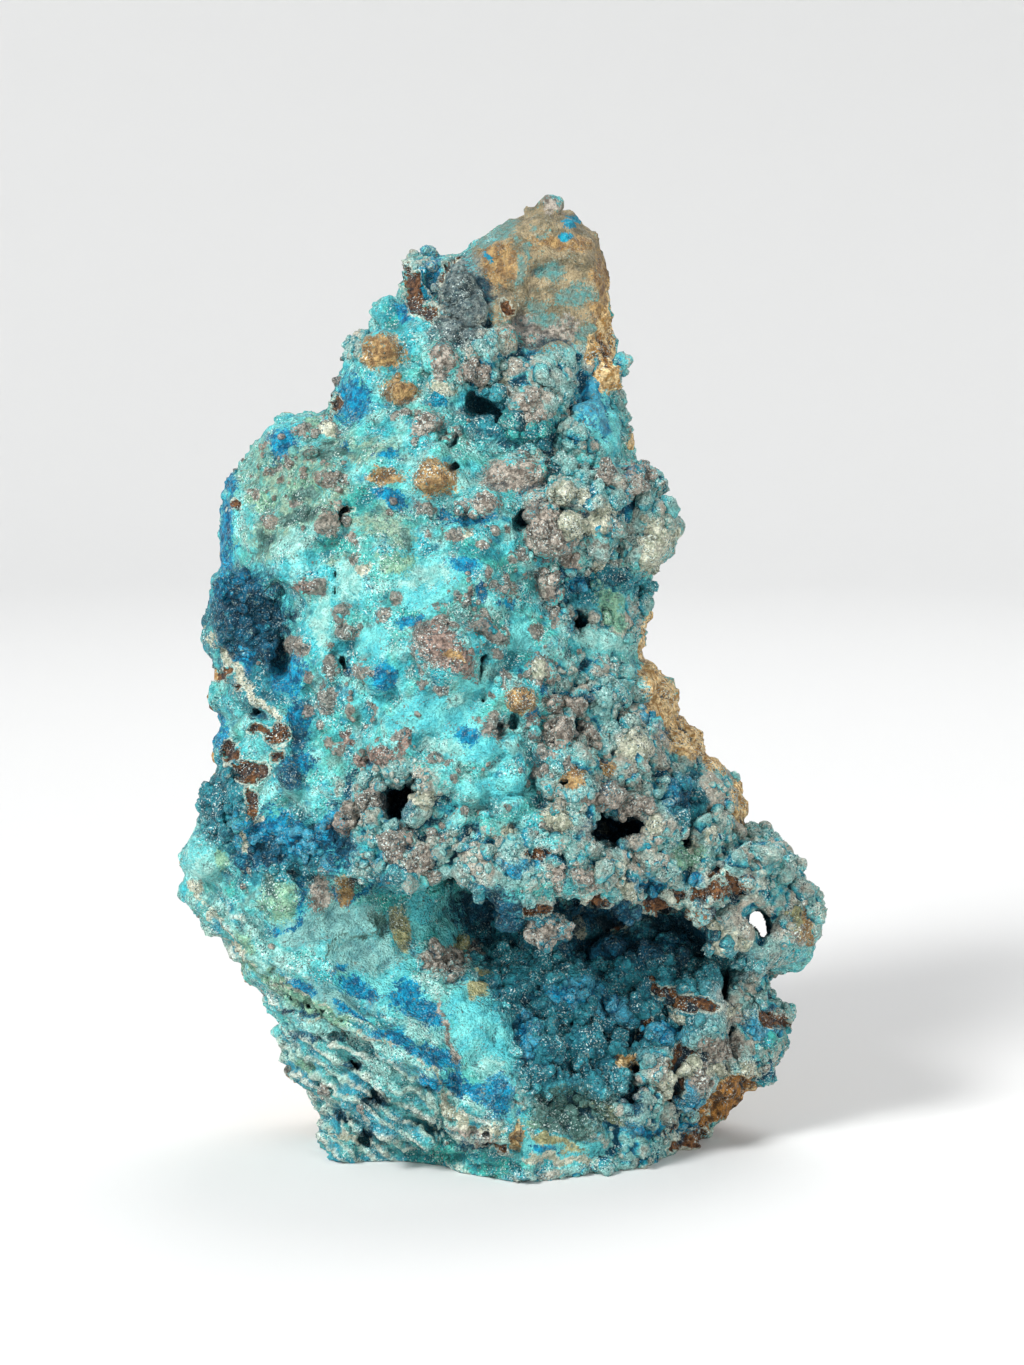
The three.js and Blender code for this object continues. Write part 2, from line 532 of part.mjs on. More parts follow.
// Fills corners until every cell holds one plain sheet of surface, so that the mesh closes
function settle(values) {
  for (let changed = true; changed; ) {
    changed = false;
    eachCell((i, j, k) => {
      if (!UNCLEAR[cellMask(values, i, j, k)]) return;
      const outside = CELL_CORNERS.map((corner) => cornerOf(i, j, k, corner)).filter((n) => values[n] >= 0);
      outside.sort((m, n) => values[m] - values[n]);
      values[outside[0]] = FILLED;
      changed = true;
    });
  }
}

// Keeps only what hangs together with a starting corner, and gives everything else the other sign
function keepOne(values, start, isInside, other) {
  const reached = new Uint8Array(values.length);
  const steps = [1, counts[0], counts[0] * counts[1]];
  const waiting = [start];
  reached[start] = 1;
  while (waiting.length) {
    const here = waiting.pop();
    for (const step of [...steps, ...steps.map((value) => -value)]) {
      const next = here + step;
      if (next < 0 || next >= values.length || reached[next] || values[next] < 0 !== isInside) continue;
      reached[next] = 1;
      waiting.push(next);
    }
  }
  values.forEach((value, n) => {
    if (value < 0 === isInside && !reached[n]) values[n] = other;
  });
}

// One vertex in each cell that the surface crosses, one quad over each crossed edge
function surface({ places, values }) {
  const positions = [];
  const vertexOf = new Map();
  eachCell((i, j, k) => {
    const mask = cellMask(values, i, j, k);
    if (mask === 0 || mask === 255) return;
    const sum = new THREE.Vector3();
    let crossings = 0;
    for (const [a, b] of CELL_EDGES) {
      const [m, n] = [a, b].map((corner) => cornerOf(i, j, k, CELL_CORNERS[corner]));
      if (values[m] < 0 === values[n] < 0) continue;
      const t = values[m] / (values[m] - values[n]);
      sum.add(new THREE.Vector3(...places[m]).lerp(new THREE.Vector3(...places[n]), t));
      crossings++;
    }
    vertexOf.set(index(i, j, k), positions.length / 3);
    positions.push(...toWorld(sum.divideScalar(crossings).toArray()));
  });
  const triangles = [];
  const quad = (cells, flip) => {
    const [a, b, c, d] = cells.map(([i, j, k]) => vertexOf.get(index(i, j, k)));
    triangles.push(...(flip ? [a, c, b, a, d, c] : [a, b, c, a, c, d]));
  };
  for (let k = 1; k < counts[2] - 1; k++) {
    for (let j = 1; j < counts[1] - 1; j++) {
      for (let i = 1; i < counts[0] - 1; i++) {
        const here = values[index(i, j, k)] < 0;
        if (here !== values[index(i + 1, j, k)] < 0) {
          quad([[i, j - 1, k - 1], [i, j, k - 1], [i, j, k], [i, j - 1, k]], here);
        }
        if (here !== values[index(i, j + 1, k)] < 0) {
          quad([[i - 1, j, k - 1], [i - 1, j, k], [i, j, k], [i, j, k - 1]], here);
        }
        if (here !== values[index(i, j, k + 1)] < 0) {
          quad([[i - 1, j - 1, k], [i, j - 1, k], [i, j, k], [i - 1, j, k]], here);
        }
      }
    }
  }
  return { positions, triangles };
}

const wasm = await Module();
wasm.setup();

function solid(positions, triangles) {
  const vertProperties = new Float32Array(positions);
  const triVerts = new Uint32Array(triangles);
  return new wasm.Manifold(new wasm.Mesh({ numProp: 3, vertProperties, triVerts }));
}

function cutAway(body, geometry) {
  geometry.deleteAttribute('normal');
  geometry.deleteAttribute('uv');
  const merged = mergeVertices(geometry);
  return body.subtract(solid(merged.attributes.position.array, merged.index.array));
}

// The flat base: everything under z = 0 is cut away
const CUTTER = 300; // side of the block that cuts it
const flatBase = (body) => {
  return cutAway(body, new THREE.BoxGeometry(CUTTER, CUTTER, CUTTER).translate(0, 0, -CUTTER / 2));
};

// The gap runs along the line of sight of the reference view
function gapThrough(body) {
  const { at, size, front, back, sides } = GAP;
  const rod = new THREE.CylinderGeometry(1, 1, front - back, sides).rotateX(Math.PI / 2);
  rod.scale(...size, 1).translate(...toPlane(at), (front + back) / 2);
  const position = rod.attributes.position;
  for (let n = 0; n < position.count; n++) {
    position.setXYZ(n, ...toWorld([position.getX(n), position.getY(n), position.getZ(n)]));
  }
  return cutAway(body, rod);
}

function rockGeometry() {
  const field = sampleField();
  settle(field.values);
  keepOne(field.values, 0, false, FILLED);
  keepOne(field.values, index(...counts.map((count) => Math.floor(count / 2))), true, -FILLED);
  const { positions, triangles } = surface(field);
  const mesh = gapThrough(flatBase(solid(positions, triangles))).getMesh();
  const geometry = new THREE.BufferGeometry();
  geometry.setAttribute('position', new THREE.BufferAttribute(mesh.vertProperties, 3));
  geometry.setIndex(new THREE.BufferAttribute(mesh.triVerts, 1));
  geometry.computeVertexNormals();
  return geometry;
}

const crust = new THREE.MeshStandardMaterial({ color: 0x4fa9b3, roughness: 0.62, metalness: 0 });
const specimen = new THREE.Mesh(rockGeometry(), crust);
specimen.name = 'serpierite_rock';

const group = new THREE.Group();
group.add(specimen);
export default group;
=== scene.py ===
"""Serpierite specimen: the looks of a blue-green copper mineral crust on broken ochre rock.

The crust is sampled again from the same forms as the solid, with finer cells and more of the
small forms. Grape-like nodules and druse crystals are grown on it. The forms are worked out in millimetres
across, up and towards the eye of the reference view, and the pieces are in metres in the frame's own axes.
"""
import math

import bmesh
import bpy
import numpy as np
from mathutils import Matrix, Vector


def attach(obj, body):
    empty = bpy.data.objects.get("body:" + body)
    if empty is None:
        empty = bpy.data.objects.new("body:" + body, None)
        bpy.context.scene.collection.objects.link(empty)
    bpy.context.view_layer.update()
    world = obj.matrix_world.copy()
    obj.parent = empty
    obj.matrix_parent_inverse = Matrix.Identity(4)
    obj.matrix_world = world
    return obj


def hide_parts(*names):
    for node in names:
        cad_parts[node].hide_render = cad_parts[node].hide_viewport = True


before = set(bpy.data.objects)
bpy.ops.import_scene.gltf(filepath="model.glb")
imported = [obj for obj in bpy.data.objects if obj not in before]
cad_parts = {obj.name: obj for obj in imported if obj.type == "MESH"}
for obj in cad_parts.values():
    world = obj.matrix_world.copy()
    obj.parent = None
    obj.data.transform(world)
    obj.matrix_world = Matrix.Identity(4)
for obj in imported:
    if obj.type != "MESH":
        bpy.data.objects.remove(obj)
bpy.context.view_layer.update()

# Driving dimensions, in millimetres, the same as the solid's
PIXEL = 0.1525
PICTURE_CENTRE = (512.0, 682.5)
PICTURE_SIZE = (1024, 1365)
VIEW_DISTANCE = 600.0
VIEW_TILT = math.radians(8)
LIFT = 70.6
CENTRE_SHIFT = (1.85, 0.6)
MM = 0.001

# Sampling of the surface, in mm: a grid with fine cells in front, which widen and deepen towards the back
CELL = 0.47
NEAR = 38.0
FAR = -40.0
COARSE_FROM = -3.0
COARSE_CELL = 1.5
BACK_SPREAD = 3.4
MARGIN = 3
WELL_OUTSIDE = 6.0
FILLED = -0.05
SETTLE_ROUNDS = 40
TABLE_STEP = 0.4
TABLE_EDGE = 12.0

# The outline in the reference view, clockwise from the top, in pixels
OUTLINE = [
    (541, 201), (553, 198), (562, 212), (573, 213), (583, 226), (598, 238), (602, 257), (609, 276),
    (611, 305), (613, 335), (617, 353), (615, 378), (616, 400), (624, 425), (633, 442), (635, 462),
    (648, 466), (660, 488), (656, 500), (670, 512), (679, 528), (671, 552), (652, 574), (642, 590),
    (645, 617), (647, 640), (643, 656), (659, 670), (670, 690), (680, 720), (701, 730), (700, 750),
    (722, 768), (744, 792), (745, 812), (745, 835), (762, 831), (784, 847), (794, 872), (813, 898),
    (821, 908), (816, 925), (811, 955), (802, 966), (790, 967), (770, 973), (764, 985), (775, 1002),
    (790, 1017), (779, 1030), (782, 1043), (775, 1060), (760, 1078), (750, 1088), (741, 1080), (720, 1097),
    (707, 1115), (706, 1135), (700, 1210), (322, 1210), (317, 1137), (323, 1112), (308, 1092), (288, 1070),
    (283, 1040), (280, 1022), (269, 1010), (262, 993), (247, 980), (234, 957), (214, 930), (203, 905),
    (188, 888), (180, 860), (192, 838), (204, 818), (204, 792), (217, 770), (213, 750), (224, 722),
    (211, 705), (216, 685), (214, 655), (204, 636), (207, 610), (213, 578), (222, 566), (219, 528),
    (225, 485), (238, 468), (250, 447), (272, 428), (278, 414), (310, 414), (328, 412), (335, 392),
    (342, 367), (349, 352), (370, 330), (373, 311), (384, 313), (396, 300), (403, 280), (409, 256),
    (433, 257), (463, 254), (484, 235), (508, 222), (526, 216),
]

# Depth of the upper crust's face: pixel x, pixel y, mm towards the eye
UPPER_FACE = [
    (548, 212, -3), (600, 250, -3), (540, 250, 2), (540, 300, 3), (610, 330, -5), (480, 270, 3),
    (420, 275, 2), (465, 320, 5), (383, 352, 9), (440, 360, 12), (350, 395, 8), (500, 370, 9), (560, 370, 7),
    (610, 390, -1), (530, 415, 14), (590, 430, 9), (480, 430, 13), (545, 530, 19), (600, 500, 18),
    (660, 520, 8), (640, 480, 8), (620, 555, 12), (560, 600, 15), (610, 640, 11), (283, 440, 8),
    (250, 480, 6), (385, 472, 18), (440, 480, 20), (500, 520, 22), (330, 500, 17), (300, 560, 18),
    (390, 570, 24), (470, 580, 27), (400, 650, 28), (455, 650, 29), (540, 640, 22), (522, 697, 27),
    (480, 760, 30), (400, 740, 28), (330, 650, 20), (345, 720, 21), (260, 620, 11), (235, 672, 12),
    (240, 560, 10), (230, 520, 6), (245, 765, 14), (212, 720, 5), (300, 720, 15), (330, 790, 20),
    (280, 830, 16), (208, 855, 9), (240, 860, 13), (400, 850, 27), (350, 860, 20), (480, 860, 29),
    (560, 860, 28), (560, 780, 26), (600, 700, 17), (630, 745, 19), (642, 690, 5), (690, 735, -7),
    (700, 800, 9), (738, 800, -5), (650, 830, 20), (700, 880, 15), (760, 860, 9), (800, 920, 2),
    (780, 960, 4), (740, 930, 9),
]

# Depth of the bowl's face under the ledge, and of the foot
LOWER_FACE = [
    (190, 895, 7), (287, 898, 15), (350, 915, 14), (410, 925, 8), (480, 925, -5), (600, 935, -9),
    (690, 925, -7), (745, 960, -5), (360, 955, 13), (300, 965, 18), (235, 935, 12), (330, 1003, 21),
    (400, 1000, 18), (470, 1030, 19), (430, 1072, 24), (400, 1048, 24), (485, 1100, 24), (290, 1020, 13),
    (292, 1060, 9), (340, 1080, 16), (325, 1125, 8), (345, 1160, 4), (400, 1125, 17), (400, 1160, 4),
    (435, 1164, 7), (480, 1178, 15), (480, 1140, 23), (515, 1187, 20), (545, 1186, 20), (560, 1174, 14),
    (570, 1115, 16), (545, 1150, 23), (600, 1172, 13), (600, 1010, 8), (540, 990, 8), (640, 970, 2),
    (700, 1000, 6), (750, 1000, 2), (780, 1025, -3), (700, 1080, 7), (750, 1065, 0), (640, 1090, 12),
    (640, 1170, 11), (680, 1156, 2), (697, 1146, -2), (702, 1112, -2),
]

# Broken faces of the rock behind: pixel x, pixel y, depth there, and its slope across and up
BACK_FACES = [
    (450, 700, -31, 0.03, 0.02), (500, 450, -27.5, 0.02, 0.22), (300, 700, -27, -0.55, 0.04),
    (360, 420, -21, -0.42, 0.25), (600, 800, -26, 0.45, 0.06), (600, 560, -25, 0.5, 0.12),
    (690, 1050, -24, 0.52, -0.1), (330, 1000, -23, -0.45, -0.22),
]

# Depth at which the sides turn from front to back
RIM = [
    (550, 200, -9), (615, 340, -13), (350, 360, -4), (225, 500, -5), (205, 640, -5), (185, 860, -3),
    (235, 950, -1), (285, 1060, -4), (670, 530, -5), (645, 640, -11), (685, 720, -14), (745, 810, -13),
    (820, 920, -5), (785, 1030, -9), (705, 1120, -12),
]

# Flat face of the tower: pixel x, pixel y, depth there, and its slope across and up
SLAB_FACE = (550, 290, 3, -0.1, -0.08)

# Lower edge of the overhanging crust, left to right
LIP = [
    (150, 868), (255, 873), (300, 872), (350, 880), (410, 876), (455, 876), (488, 900), (512, 914),
    (548, 896), (600, 903), (660, 914), (705, 902), (722, 906), (733, 944), (765, 972), (850, 990),
]
ROOF_RISE = 0.28
ROOF_MOST = 6.0
LIP_CLEAR = 10.0

# Rounding of the front's edges: pixel x, pixel y, mm
FRONT_ROUNDING = [
    (550, 230, 3), (600, 300, 2), (420, 270, 4), (350, 380, 6), (240, 480, 9), (215, 620, 9), (200, 860, 6),
    (250, 960, 5), (300, 1090, 6), (660, 520, 5), (645, 640, 6), (700, 740, 7), (790, 880, 6),
    (770, 1040, 6), (500, 700, 9),
]
BACK_ROUNDING = 7.0
FACE_SOFTNESS = 5.0
JOIN_SOFTNESS = 1.4
LUMP_SOFTNESS = 0.8
RIDGE_SOFTNESS = 1.2
HOLLOW_SOFTNESS = 0.8

# Hollows: pixel x, pixel y, depth of the middle, and half sizes across, up and deep
HOLLOWS = [
    (484, 408, 10, 2.7, 1.6, 5), (503, 419, 10, 1.7, 1.5, 4.5), (473, 402, 11, 1.3, 1.9, 4),
    (432, 280, 4, 1.6, 3.4, 4), (384, 398, 14, 2.2, 2.2, 5), (526, 520, 21, 1.9, 1.9, 5),
    (596, 590, 17, 6.0, 4.0, 5.0), (610, 612, 15, 4.4, 5.0, 5), (577, 622, 14, 2.0, 2.2, 9),
    (262, 612, 19, 7.2, 6.6, 10), (280, 648, 15, 2.0, 5.4, 7), (252, 758, 19, 4.4, 4.6, 6),
    (303, 712, 21, 3.4, 5.2, 6), (338, 836, 25, 3.2, 4.4, 6), (408, 615, 31, 3.0, 2.6, 4),
    (398, 536, 26, 5.2, 1.6, 3.4), (396, 803, 24, 2.4, 3.4, 16), (406, 795, 24, 2.2, 2.4, 16),
    (612, 836, 20, 4.6, 2.2, 15), (603, 824, 20, 2.5, 3.0, 15), (629, 831, 20, 3.1, 2.5, 15),
    (660, 772, 16, 3.4, 2.4, 6), (757, 918, -8, 1.9, 2.0, 60), (762, 930, -8, 1.5, 2.1, 60),
    (574, 1108, 20, 5.0, 3.4, 6), (632, 1092, 14, 1.5, 2.4, 5), (372, 1104, 20, 2.6, 1.7, 4),
    (342, 1120, 16, 2.8, 1.6, 4),
]

# Lumps: pixel x, pixel y, radius, how far the middle stands out, and 1 on the lower face
LUMPS = [
    (551, 206, 1.9, -0.5, 0), (532, 214, 1.4, 0, 0), (383, 352, 3.4, -0.6, 0), (440, 358, 2.8, 0, 0),
    (441, 388, 1.9, 0.5, 0), (586, 352, 2.4, 0, 0), (392, 316, 2.8, -0.5, 0), (530, 414, 2.7, 0.4, 0),
    (545, 530, 3.2, 0.6, 0), (590, 524, 2.6, 0.8, 0), (560, 492, 1.9, 1, 0), (600, 514, 1.7, 1.4, 0),
    (625, 490, 2.1, 0.8, 0), (657, 522, 2.4, 0.3, 0), (650, 480, 1.9, 0.4, 0), (570, 556, 2.0, 0.6, 0),
    (655, 545, 2.2, 0.3, 0), (518, 476, 4.2, -1.2, 0), (485, 500, 2.2, 0.4, 0), (283, 440, 2.6, 0, 0),
    (432, 478, 3.0, -0.8, 0), (330, 480, 2.4, 0, 0), (326, 524, 2.6, 0, 0), (450, 652, 5.0, -1.4, 0),
    (522, 697, 2.2, 1.1, 0), (328, 668, 1.9, 0.4, 0), (379, 680, 2.2, 0.6, 0), (365, 672, 1.5, 0.6, 0),
    (630, 745, 3.0, 0.2, 0), (590, 735, 2.3, 0.3, 0), (555, 730, 2.2, 0.3, 0), (570, 776, 2.4, 0.4, 0),
    (595, 800, 1.9, 0.4, 0), (655, 822, 2.1, 0.6, 0), (292, 776, 2.6, 0.4, 0), (218, 696, 1.9, 0.5, 0),
    (232, 738, 2.4, 0.3, 0), (236, 590, 1.7, 0.4, 0), (252, 606, 2.1, 0.3, 0), (238, 624, 1.6, 0.4, 0),
    (262, 590, 1.5, 0.3, 0), (208, 856, 3.6, -1, 0), (285, 898, 3.2, -0.4, 1), (545, 932, 3.2, -0.6, 1),
    (583, 930, 1.7, 0, 1), (735, 918, 2.4, 0.4, 0), (722, 944, 2.2, 0.4, 0), (803, 926, 2.4, 0, 0),
    (560, 1092, 2.2, 0.3, 1), (345, 1148, 3.0, 0, 1),
]

# Ridges: radius, how far the middle stands out, 1 on the lower face, and the route in pixels
RIDGES = [
    (1.2, 0.3, 0, [(208, 640), (235, 672), (250, 694), (285, 716)]),
    (0.9, 0.3, 0, [(522, 262), (545, 257), (584, 258)]),
    (1.3, 0, 0, [(520, 258), (520, 296)]),
    (1.4, 0.2, 0, [(228, 740), (252, 722), (282, 736), (280, 786), (250, 812)]),
    (1.6, -0.2, 0, [(430, 536), (480, 542), (522, 566)]),
    (1.5, 1.3, 0, [(616, 862), (623, 880), (628, 907)]),
    (1.6, -0.6, 0, [(535, 888), (541, 912), (550, 936)]),
    (1.5, 1.5, 1, [(540, 925), (555, 945)]),
    (2.0, 0.2, 1, [(190, 890), (215, 915), (260, 950), (300, 975), (330, 1004), (400, 1052), (432, 1072)]),
    (1.8, 0, 1, [(432, 1072), (445, 1104), (470, 1122), (505, 1130)]),
    (1.5, 0.4, 1, [(283, 1032), (345, 1044), (400, 1088), (440, 1118)]),
    (1.5, 0.4, 1, [(300, 1078), (350, 1096), (390, 1128), (450, 1146)]),
    (1.8, 0.6, 1, [(456, 1126), (490, 1132), (506, 1140)]),
    (1.0, 0, 1, [(310, 955), (345, 930), (375, 932)]),
    (1.5, 0.6, 1, [(580, 1090), (602, 1108), (622, 1130)]),
    (1.3, 0.4, 1, [(655, 990), (690, 998), (716, 1016)]),
    (1.6, 0, 1, [(700, 1128), (712, 1104), (742, 1080)]),
]

# Patches of large grape-like nodules: pixel x, pixel y, half sizes in pixels, 1 on the lower face
NODULE_PATCHES = [
    (565, 400, 62, 58, 0), (605, 512, 72, 52, 0), (640, 790, 92, 105, 0), (480, 820, 115, 78, 0),
    (752, 895, 64, 66, 0), (470, 315, 34, 62, 0), (650, 1050, 120, 105, 1),
]
NODULE_PITCH = 5.0
NODULE_RADIUS = (2.0, 3.1)
NODULE_JITTER = 0.8
NODULE_OUT = 0.1

# Unevenness of the faces, as length and height in mm, and of the sides
WAVES = [(21, 0.8), (12.5, 0.55), (7.4, 0.33)]
SIDE_WAVE = 13.0
SIDE_WAVE_HEIGHT = 1.1
SIDE_WAVE_START = 7.0

# Sway of the whole shape, so that no form keeps a regular outline, as length and height in mm
SWAYS = [(6.3, 0.36), (3.1, 0.22), (1.7, 0.1)]
REACH = 2.0

# The rim that the beds of the lower left follow, left to right, and their thickness in mm
RIM_RIDGE = [
    (150, 868), (190, 890), (215, 915), (260, 950), (300, 975), (330, 1004), (400, 1052), (432, 1072),
    (445, 1104), (470, 1122), (505, 1130), (560, 1160),
]
BED_THICKNESS = 2.5
BEDDING_SWAYS = [(2.0, 9.0, 61), (0.6, 2.5, 65)]
LEAF_SHARPNESS = 0.8

# Marks, in mm: where the bare rock behind starts, and how far the edges of the patches wander
BEHIND_START = -1.0
BEHIND_DEPTH = 5.0
SWAY_FRONT = 0.75
SWAY_BEHIND = 2.5
SWAY_SIZE = 2.6
FINE_SWAY = 0.25
FINE_SWAY_SIZE = 0.9

# Tones of the druse, and how far its crests and the lumps stand out of the skin smoothed by so many rounds
TONE_SPREAD = 0.6
TONE_SIZE = 4.5
CREST_ROUNDS = 10
CREST_HEIGHT = 1.1
LUMP_ROUNDS = 90
LUMP_HEIGHT = 4.5

# Fine relief of the skin in mm, most of it as a height and the size of its lumps, which ends above the foot
FOOT_FADE = 1.2
GRAIN = (0.32, 2.2)
SMOOTHER_BY = 0.22
BUD_GRAIN = (0.35, 1.1)
CLUSTERS = (1.35, 3.6)
BERRIES = (0.7, 1.8)
DRUSE_SINK = 1.05
LEAF_HEIGHT = 1.1
LEAF_GRAIN = (0.6, 1.5)
LEAF_SINK = 0.5
BROKEN_STEPS = (1.0, 4.5)
BROKEN_STRETCH = (1.0, 0.45, 1.0)
BROKEN_GRAIN = (0.4, 1.1)
RUST_RIM = 0.4
RUST_DEPTH = 1.0

# Grape-like nodules and druse crystals, in mm
NODULE_TRIES = 26000
NODULE_SIZES = (0.42, 1.65)
NODULE_SPLIT = 0.95
NODULE_LARGE = 400
NODULE_SMALL = 2400
NODULE_SPACING = 0.66
NODULE_GRAIN = (0.58, 1.2)
NODULE_LONGER = 0.7
NODULE_SHORTER = 0.3
CHUNKY_GROWTH = 0.2
PEA_SIZE = 0.62
PEAS_BROWN = 0.75
CRYSTAL_COUNT = 26000
CRYSTAL_SIZES = (0.16, 0.42)
CRYSTAL_LEAN = 0.35
CRYSTAL_TIP = 0.75
CRYSTAL_ROOT = 0.35
CRYSTAL_WAIST = 0.5

# Pieces that the skin is parted into, from the foot up
SKIN_BANDS = ("rock_foot", "rock_middle", "rock_top")

# Rays that feel how much of the sky over a point the rock itself closes, in mm
SKY_RAYS = 36
SKY_START = 0.5
SKY_REACHES = (1.2, 2.4, 4.0, 6.5, 10.0, 15.0)
GOLDEN_ANGLE = math.pi * (3 - math.sqrt(5))

# The stage, in metres, and its lights: name, place, size and power
FLOOR_RADIUS = 0.75
FLOOR_SWEEP = 0.45
FLOOR_WALL = 0.7
SWEEP_STEPS = 12
FLOOR_SIDES = 96
FLOOR_COLOUR = (0.8, 0.8, 0.79, 1)
FLOOR_ROUGHNESS = 0.9
AIR_COLOUR = (0.85, 0.9, 1, 1)
AIR_STRENGTH = 0.2
LIGHTS = [
    ("key", (-0.66, -0.79, 0.93), 0.36, 17.5),
    ("fill", (0.42, -0.68, 0.3), 0.5, 2.2),
    ("back", (0.15, 0.5, 0.8), 0.6, 4),
]
LIGHT_TARGET = Vector((0, 0, 0.075))
SENSOR_WIDTH = 36.0
CAMERA_CLEAR = 0.01

# Grape-like buds on the crust: pixel x, pixel y, half width and half height in pixels
BUDS = [
    (265, 445, 5, 4), (265, 471, 5, 7), (289, 462, 6, 4), (329, 478, 18, 9), (327, 524, 13, 16),
    (271, 522, 8, 7), (426, 510, 9, 8), (461, 506, 10, 9), (486, 503, 16, 12), (515, 476, 34, 16),
    (428, 535, 4, 4), (440, 530, 5, 4), (455, 534, 9, 7), (482, 545, 7, 5), (518, 556, 9, 9),
    (490, 574, 5, 6), (542, 539, 16, 18), (459, 597, 5, 7), (470, 590, 3, 6), (438, 607, 9, 5),
    (501, 587, 12, 7), (505, 527, 4, 4), (479, 626, 11, 8), (444, 622, 10, 7), (498, 638, 9, 8),
    (535, 632, 7, 9), (385, 615, 9, 7), (395, 598, 8, 8), (355, 556, 6, 7), (548, 584, 10, 14),
    (553, 619, 5, 9), (312, 585, 13, 7), (295, 644, 13, 10), (308, 679, 6, 8), (330, 669, 8, 12),
    (328, 700, 8, 14), (329, 647, 5, 5), (342, 613, 9, 9), (347, 633, 10, 9), (365, 671, 9, 12),
    (374, 704, 6, 6), (350, 712, 6, 8), (329, 740, 6, 8), (340, 747, 6, 7), (358, 758, 6, 7),
    (378, 752, 11, 10), (481, 628, 9, 7), (492, 637, 6, 7), (532, 631, 7, 8), (538, 669, 13, 13),
    (520, 699, 15, 15), (495, 657, 8, 6), (502, 679, 5, 9), (490, 696, 4, 4), (479, 716, 4, 4),
    (493, 716, 7, 8), (422, 671, 6, 8), (423, 687, 5, 5), (418, 713, 5, 5), (441, 688, 7, 6),
    (400, 733, 8, 6), (409, 742, 4, 4), (399, 753, 5, 7), (532, 724, 8, 7), (556, 734, 14, 13),
    (565, 708, 18, 8), (543, 753, 10, 9), (539, 772, 8, 7), (564, 765, 6, 8), (573, 779, 12, 8),
    (431, 757, 9, 6), (449, 765, 5, 5), (457, 782, 5, 4), (492, 729, 12, 10), (438, 841, 6, 7),
    (506, 833, 9, 6), (557, 874, 10, 9), (582, 876, 8, 8), (554, 823, 12, 14), (564, 805, 6, 7),
    (590, 801, 9, 8), (421, 861, 12, 12), (388, 839, 8, 7), (348, 818, 10, 10), (558, 494, 10, 8),
    (585, 498, 12, 7), (587, 523, 24, 16), (547, 532, 20, 22), (604, 511, 8, 7), (572, 557, 10, 8),
    (595, 563, 6, 6), (653, 542, 14, 18), (648, 567, 8, 8), (666, 536, 5, 5), (602, 475, 12, 10),
    (643, 475, 16, 12), (632, 749, 16, 15), (607, 769, 10, 9), (595, 799, 11, 10), (571, 780, 10, 9),
    (633, 807, 16, 12), (601, 827, 12, 8), (655, 827, 10, 10), (693, 848, 7, 6), (707, 838, 6, 5),
    (330, 425, 12, 11), (300, 430, 9, 7), (425, 425, 15, 13), (455, 430, 8, 7), (472, 372, 15, 10),
    (400, 395, 18, 12), (370, 800, 15, 12), (400, 840, 14, 12), (438, 645, 26, 20), (456, 658, 18, 14),
    (424, 634, 14, 12), (407, 795, 11, 10), (424, 797, 11, 8), (515, 287, 7, 6),
]
BUD_OUT = 0.45

# Slits and cracks in the face: half width in mm, depth in mm, 1 on the lower face, and the route in pixels
SLITS = [
    (0.28, 3.0, 0, [(482, 656), (480, 670), (483, 684), (481, 695), (485, 703)]),
    (0.3, 3.0, 0, [(560, 482), (569, 488), (571, 498), (566, 506)]),
    (0.35, 4.0, 0, [(612, 684), (612, 700), (610, 712)]),
    (0.3, 3.0, 0, [(455, 438), (454, 446)]),
    (0.4, 3.0, 0, [(343, 660), (347, 675), (354, 684)]),
    (0.25, 3.0, 0, [(450, 300), (452, 330)]),
    (0.35, 5.0, 0, [(284, 634), (278, 646), (270, 656)]),
    (0.25, 2.0, 0, [(335, 574), (336, 602)]),
    (0.5, 9.0, 1, [(728, 958), (724, 974)]),
    (0.9, 12.0, 1, [(724, 974), (723, 990), (724, 1000)]),
    (0.45, 12.0, 1, [(724, 1000), (726, 1014), (731, 1043), (740, 1071)]),
    (0.3, 4.0, 1, [(283, 1030), (312, 1035), (345, 1040)]),
    (0.35, 3.0, 1, [(618, 1092), (619, 1106)]),
    (0.3, 2.5, 1, [(250, 968), (280, 990), (310, 1006), (345, 1022)]),
    (0.3, 3.0, 1, [(430, 1086), (446, 1112), (470, 1130), (498, 1140)]),
]

# Small uneven pits: pixel x, pixel y, radius in pixels
PITS = [
    (455, 447, 5), (458, 464, 8), (525, 521, 9), (511, 721, 7), (500, 730, 4), (482, 659, 4), (257, 716, 5),
    (418, 781, 6), (562, 785, 6), (613, 787, 7), (682, 842, 8), (633, 1039, 9), (631, 1098, 12),
    (571, 600, 7), (515, 1100, 4), (345, 1119, 7), (376, 1101, 9), (368, 1133, 7), (353, 1066, 6),
    (637, 1070, 5), (343, 515, 5),
]
PIT_DEPTH = 2.2
PIT_PARTS = 4

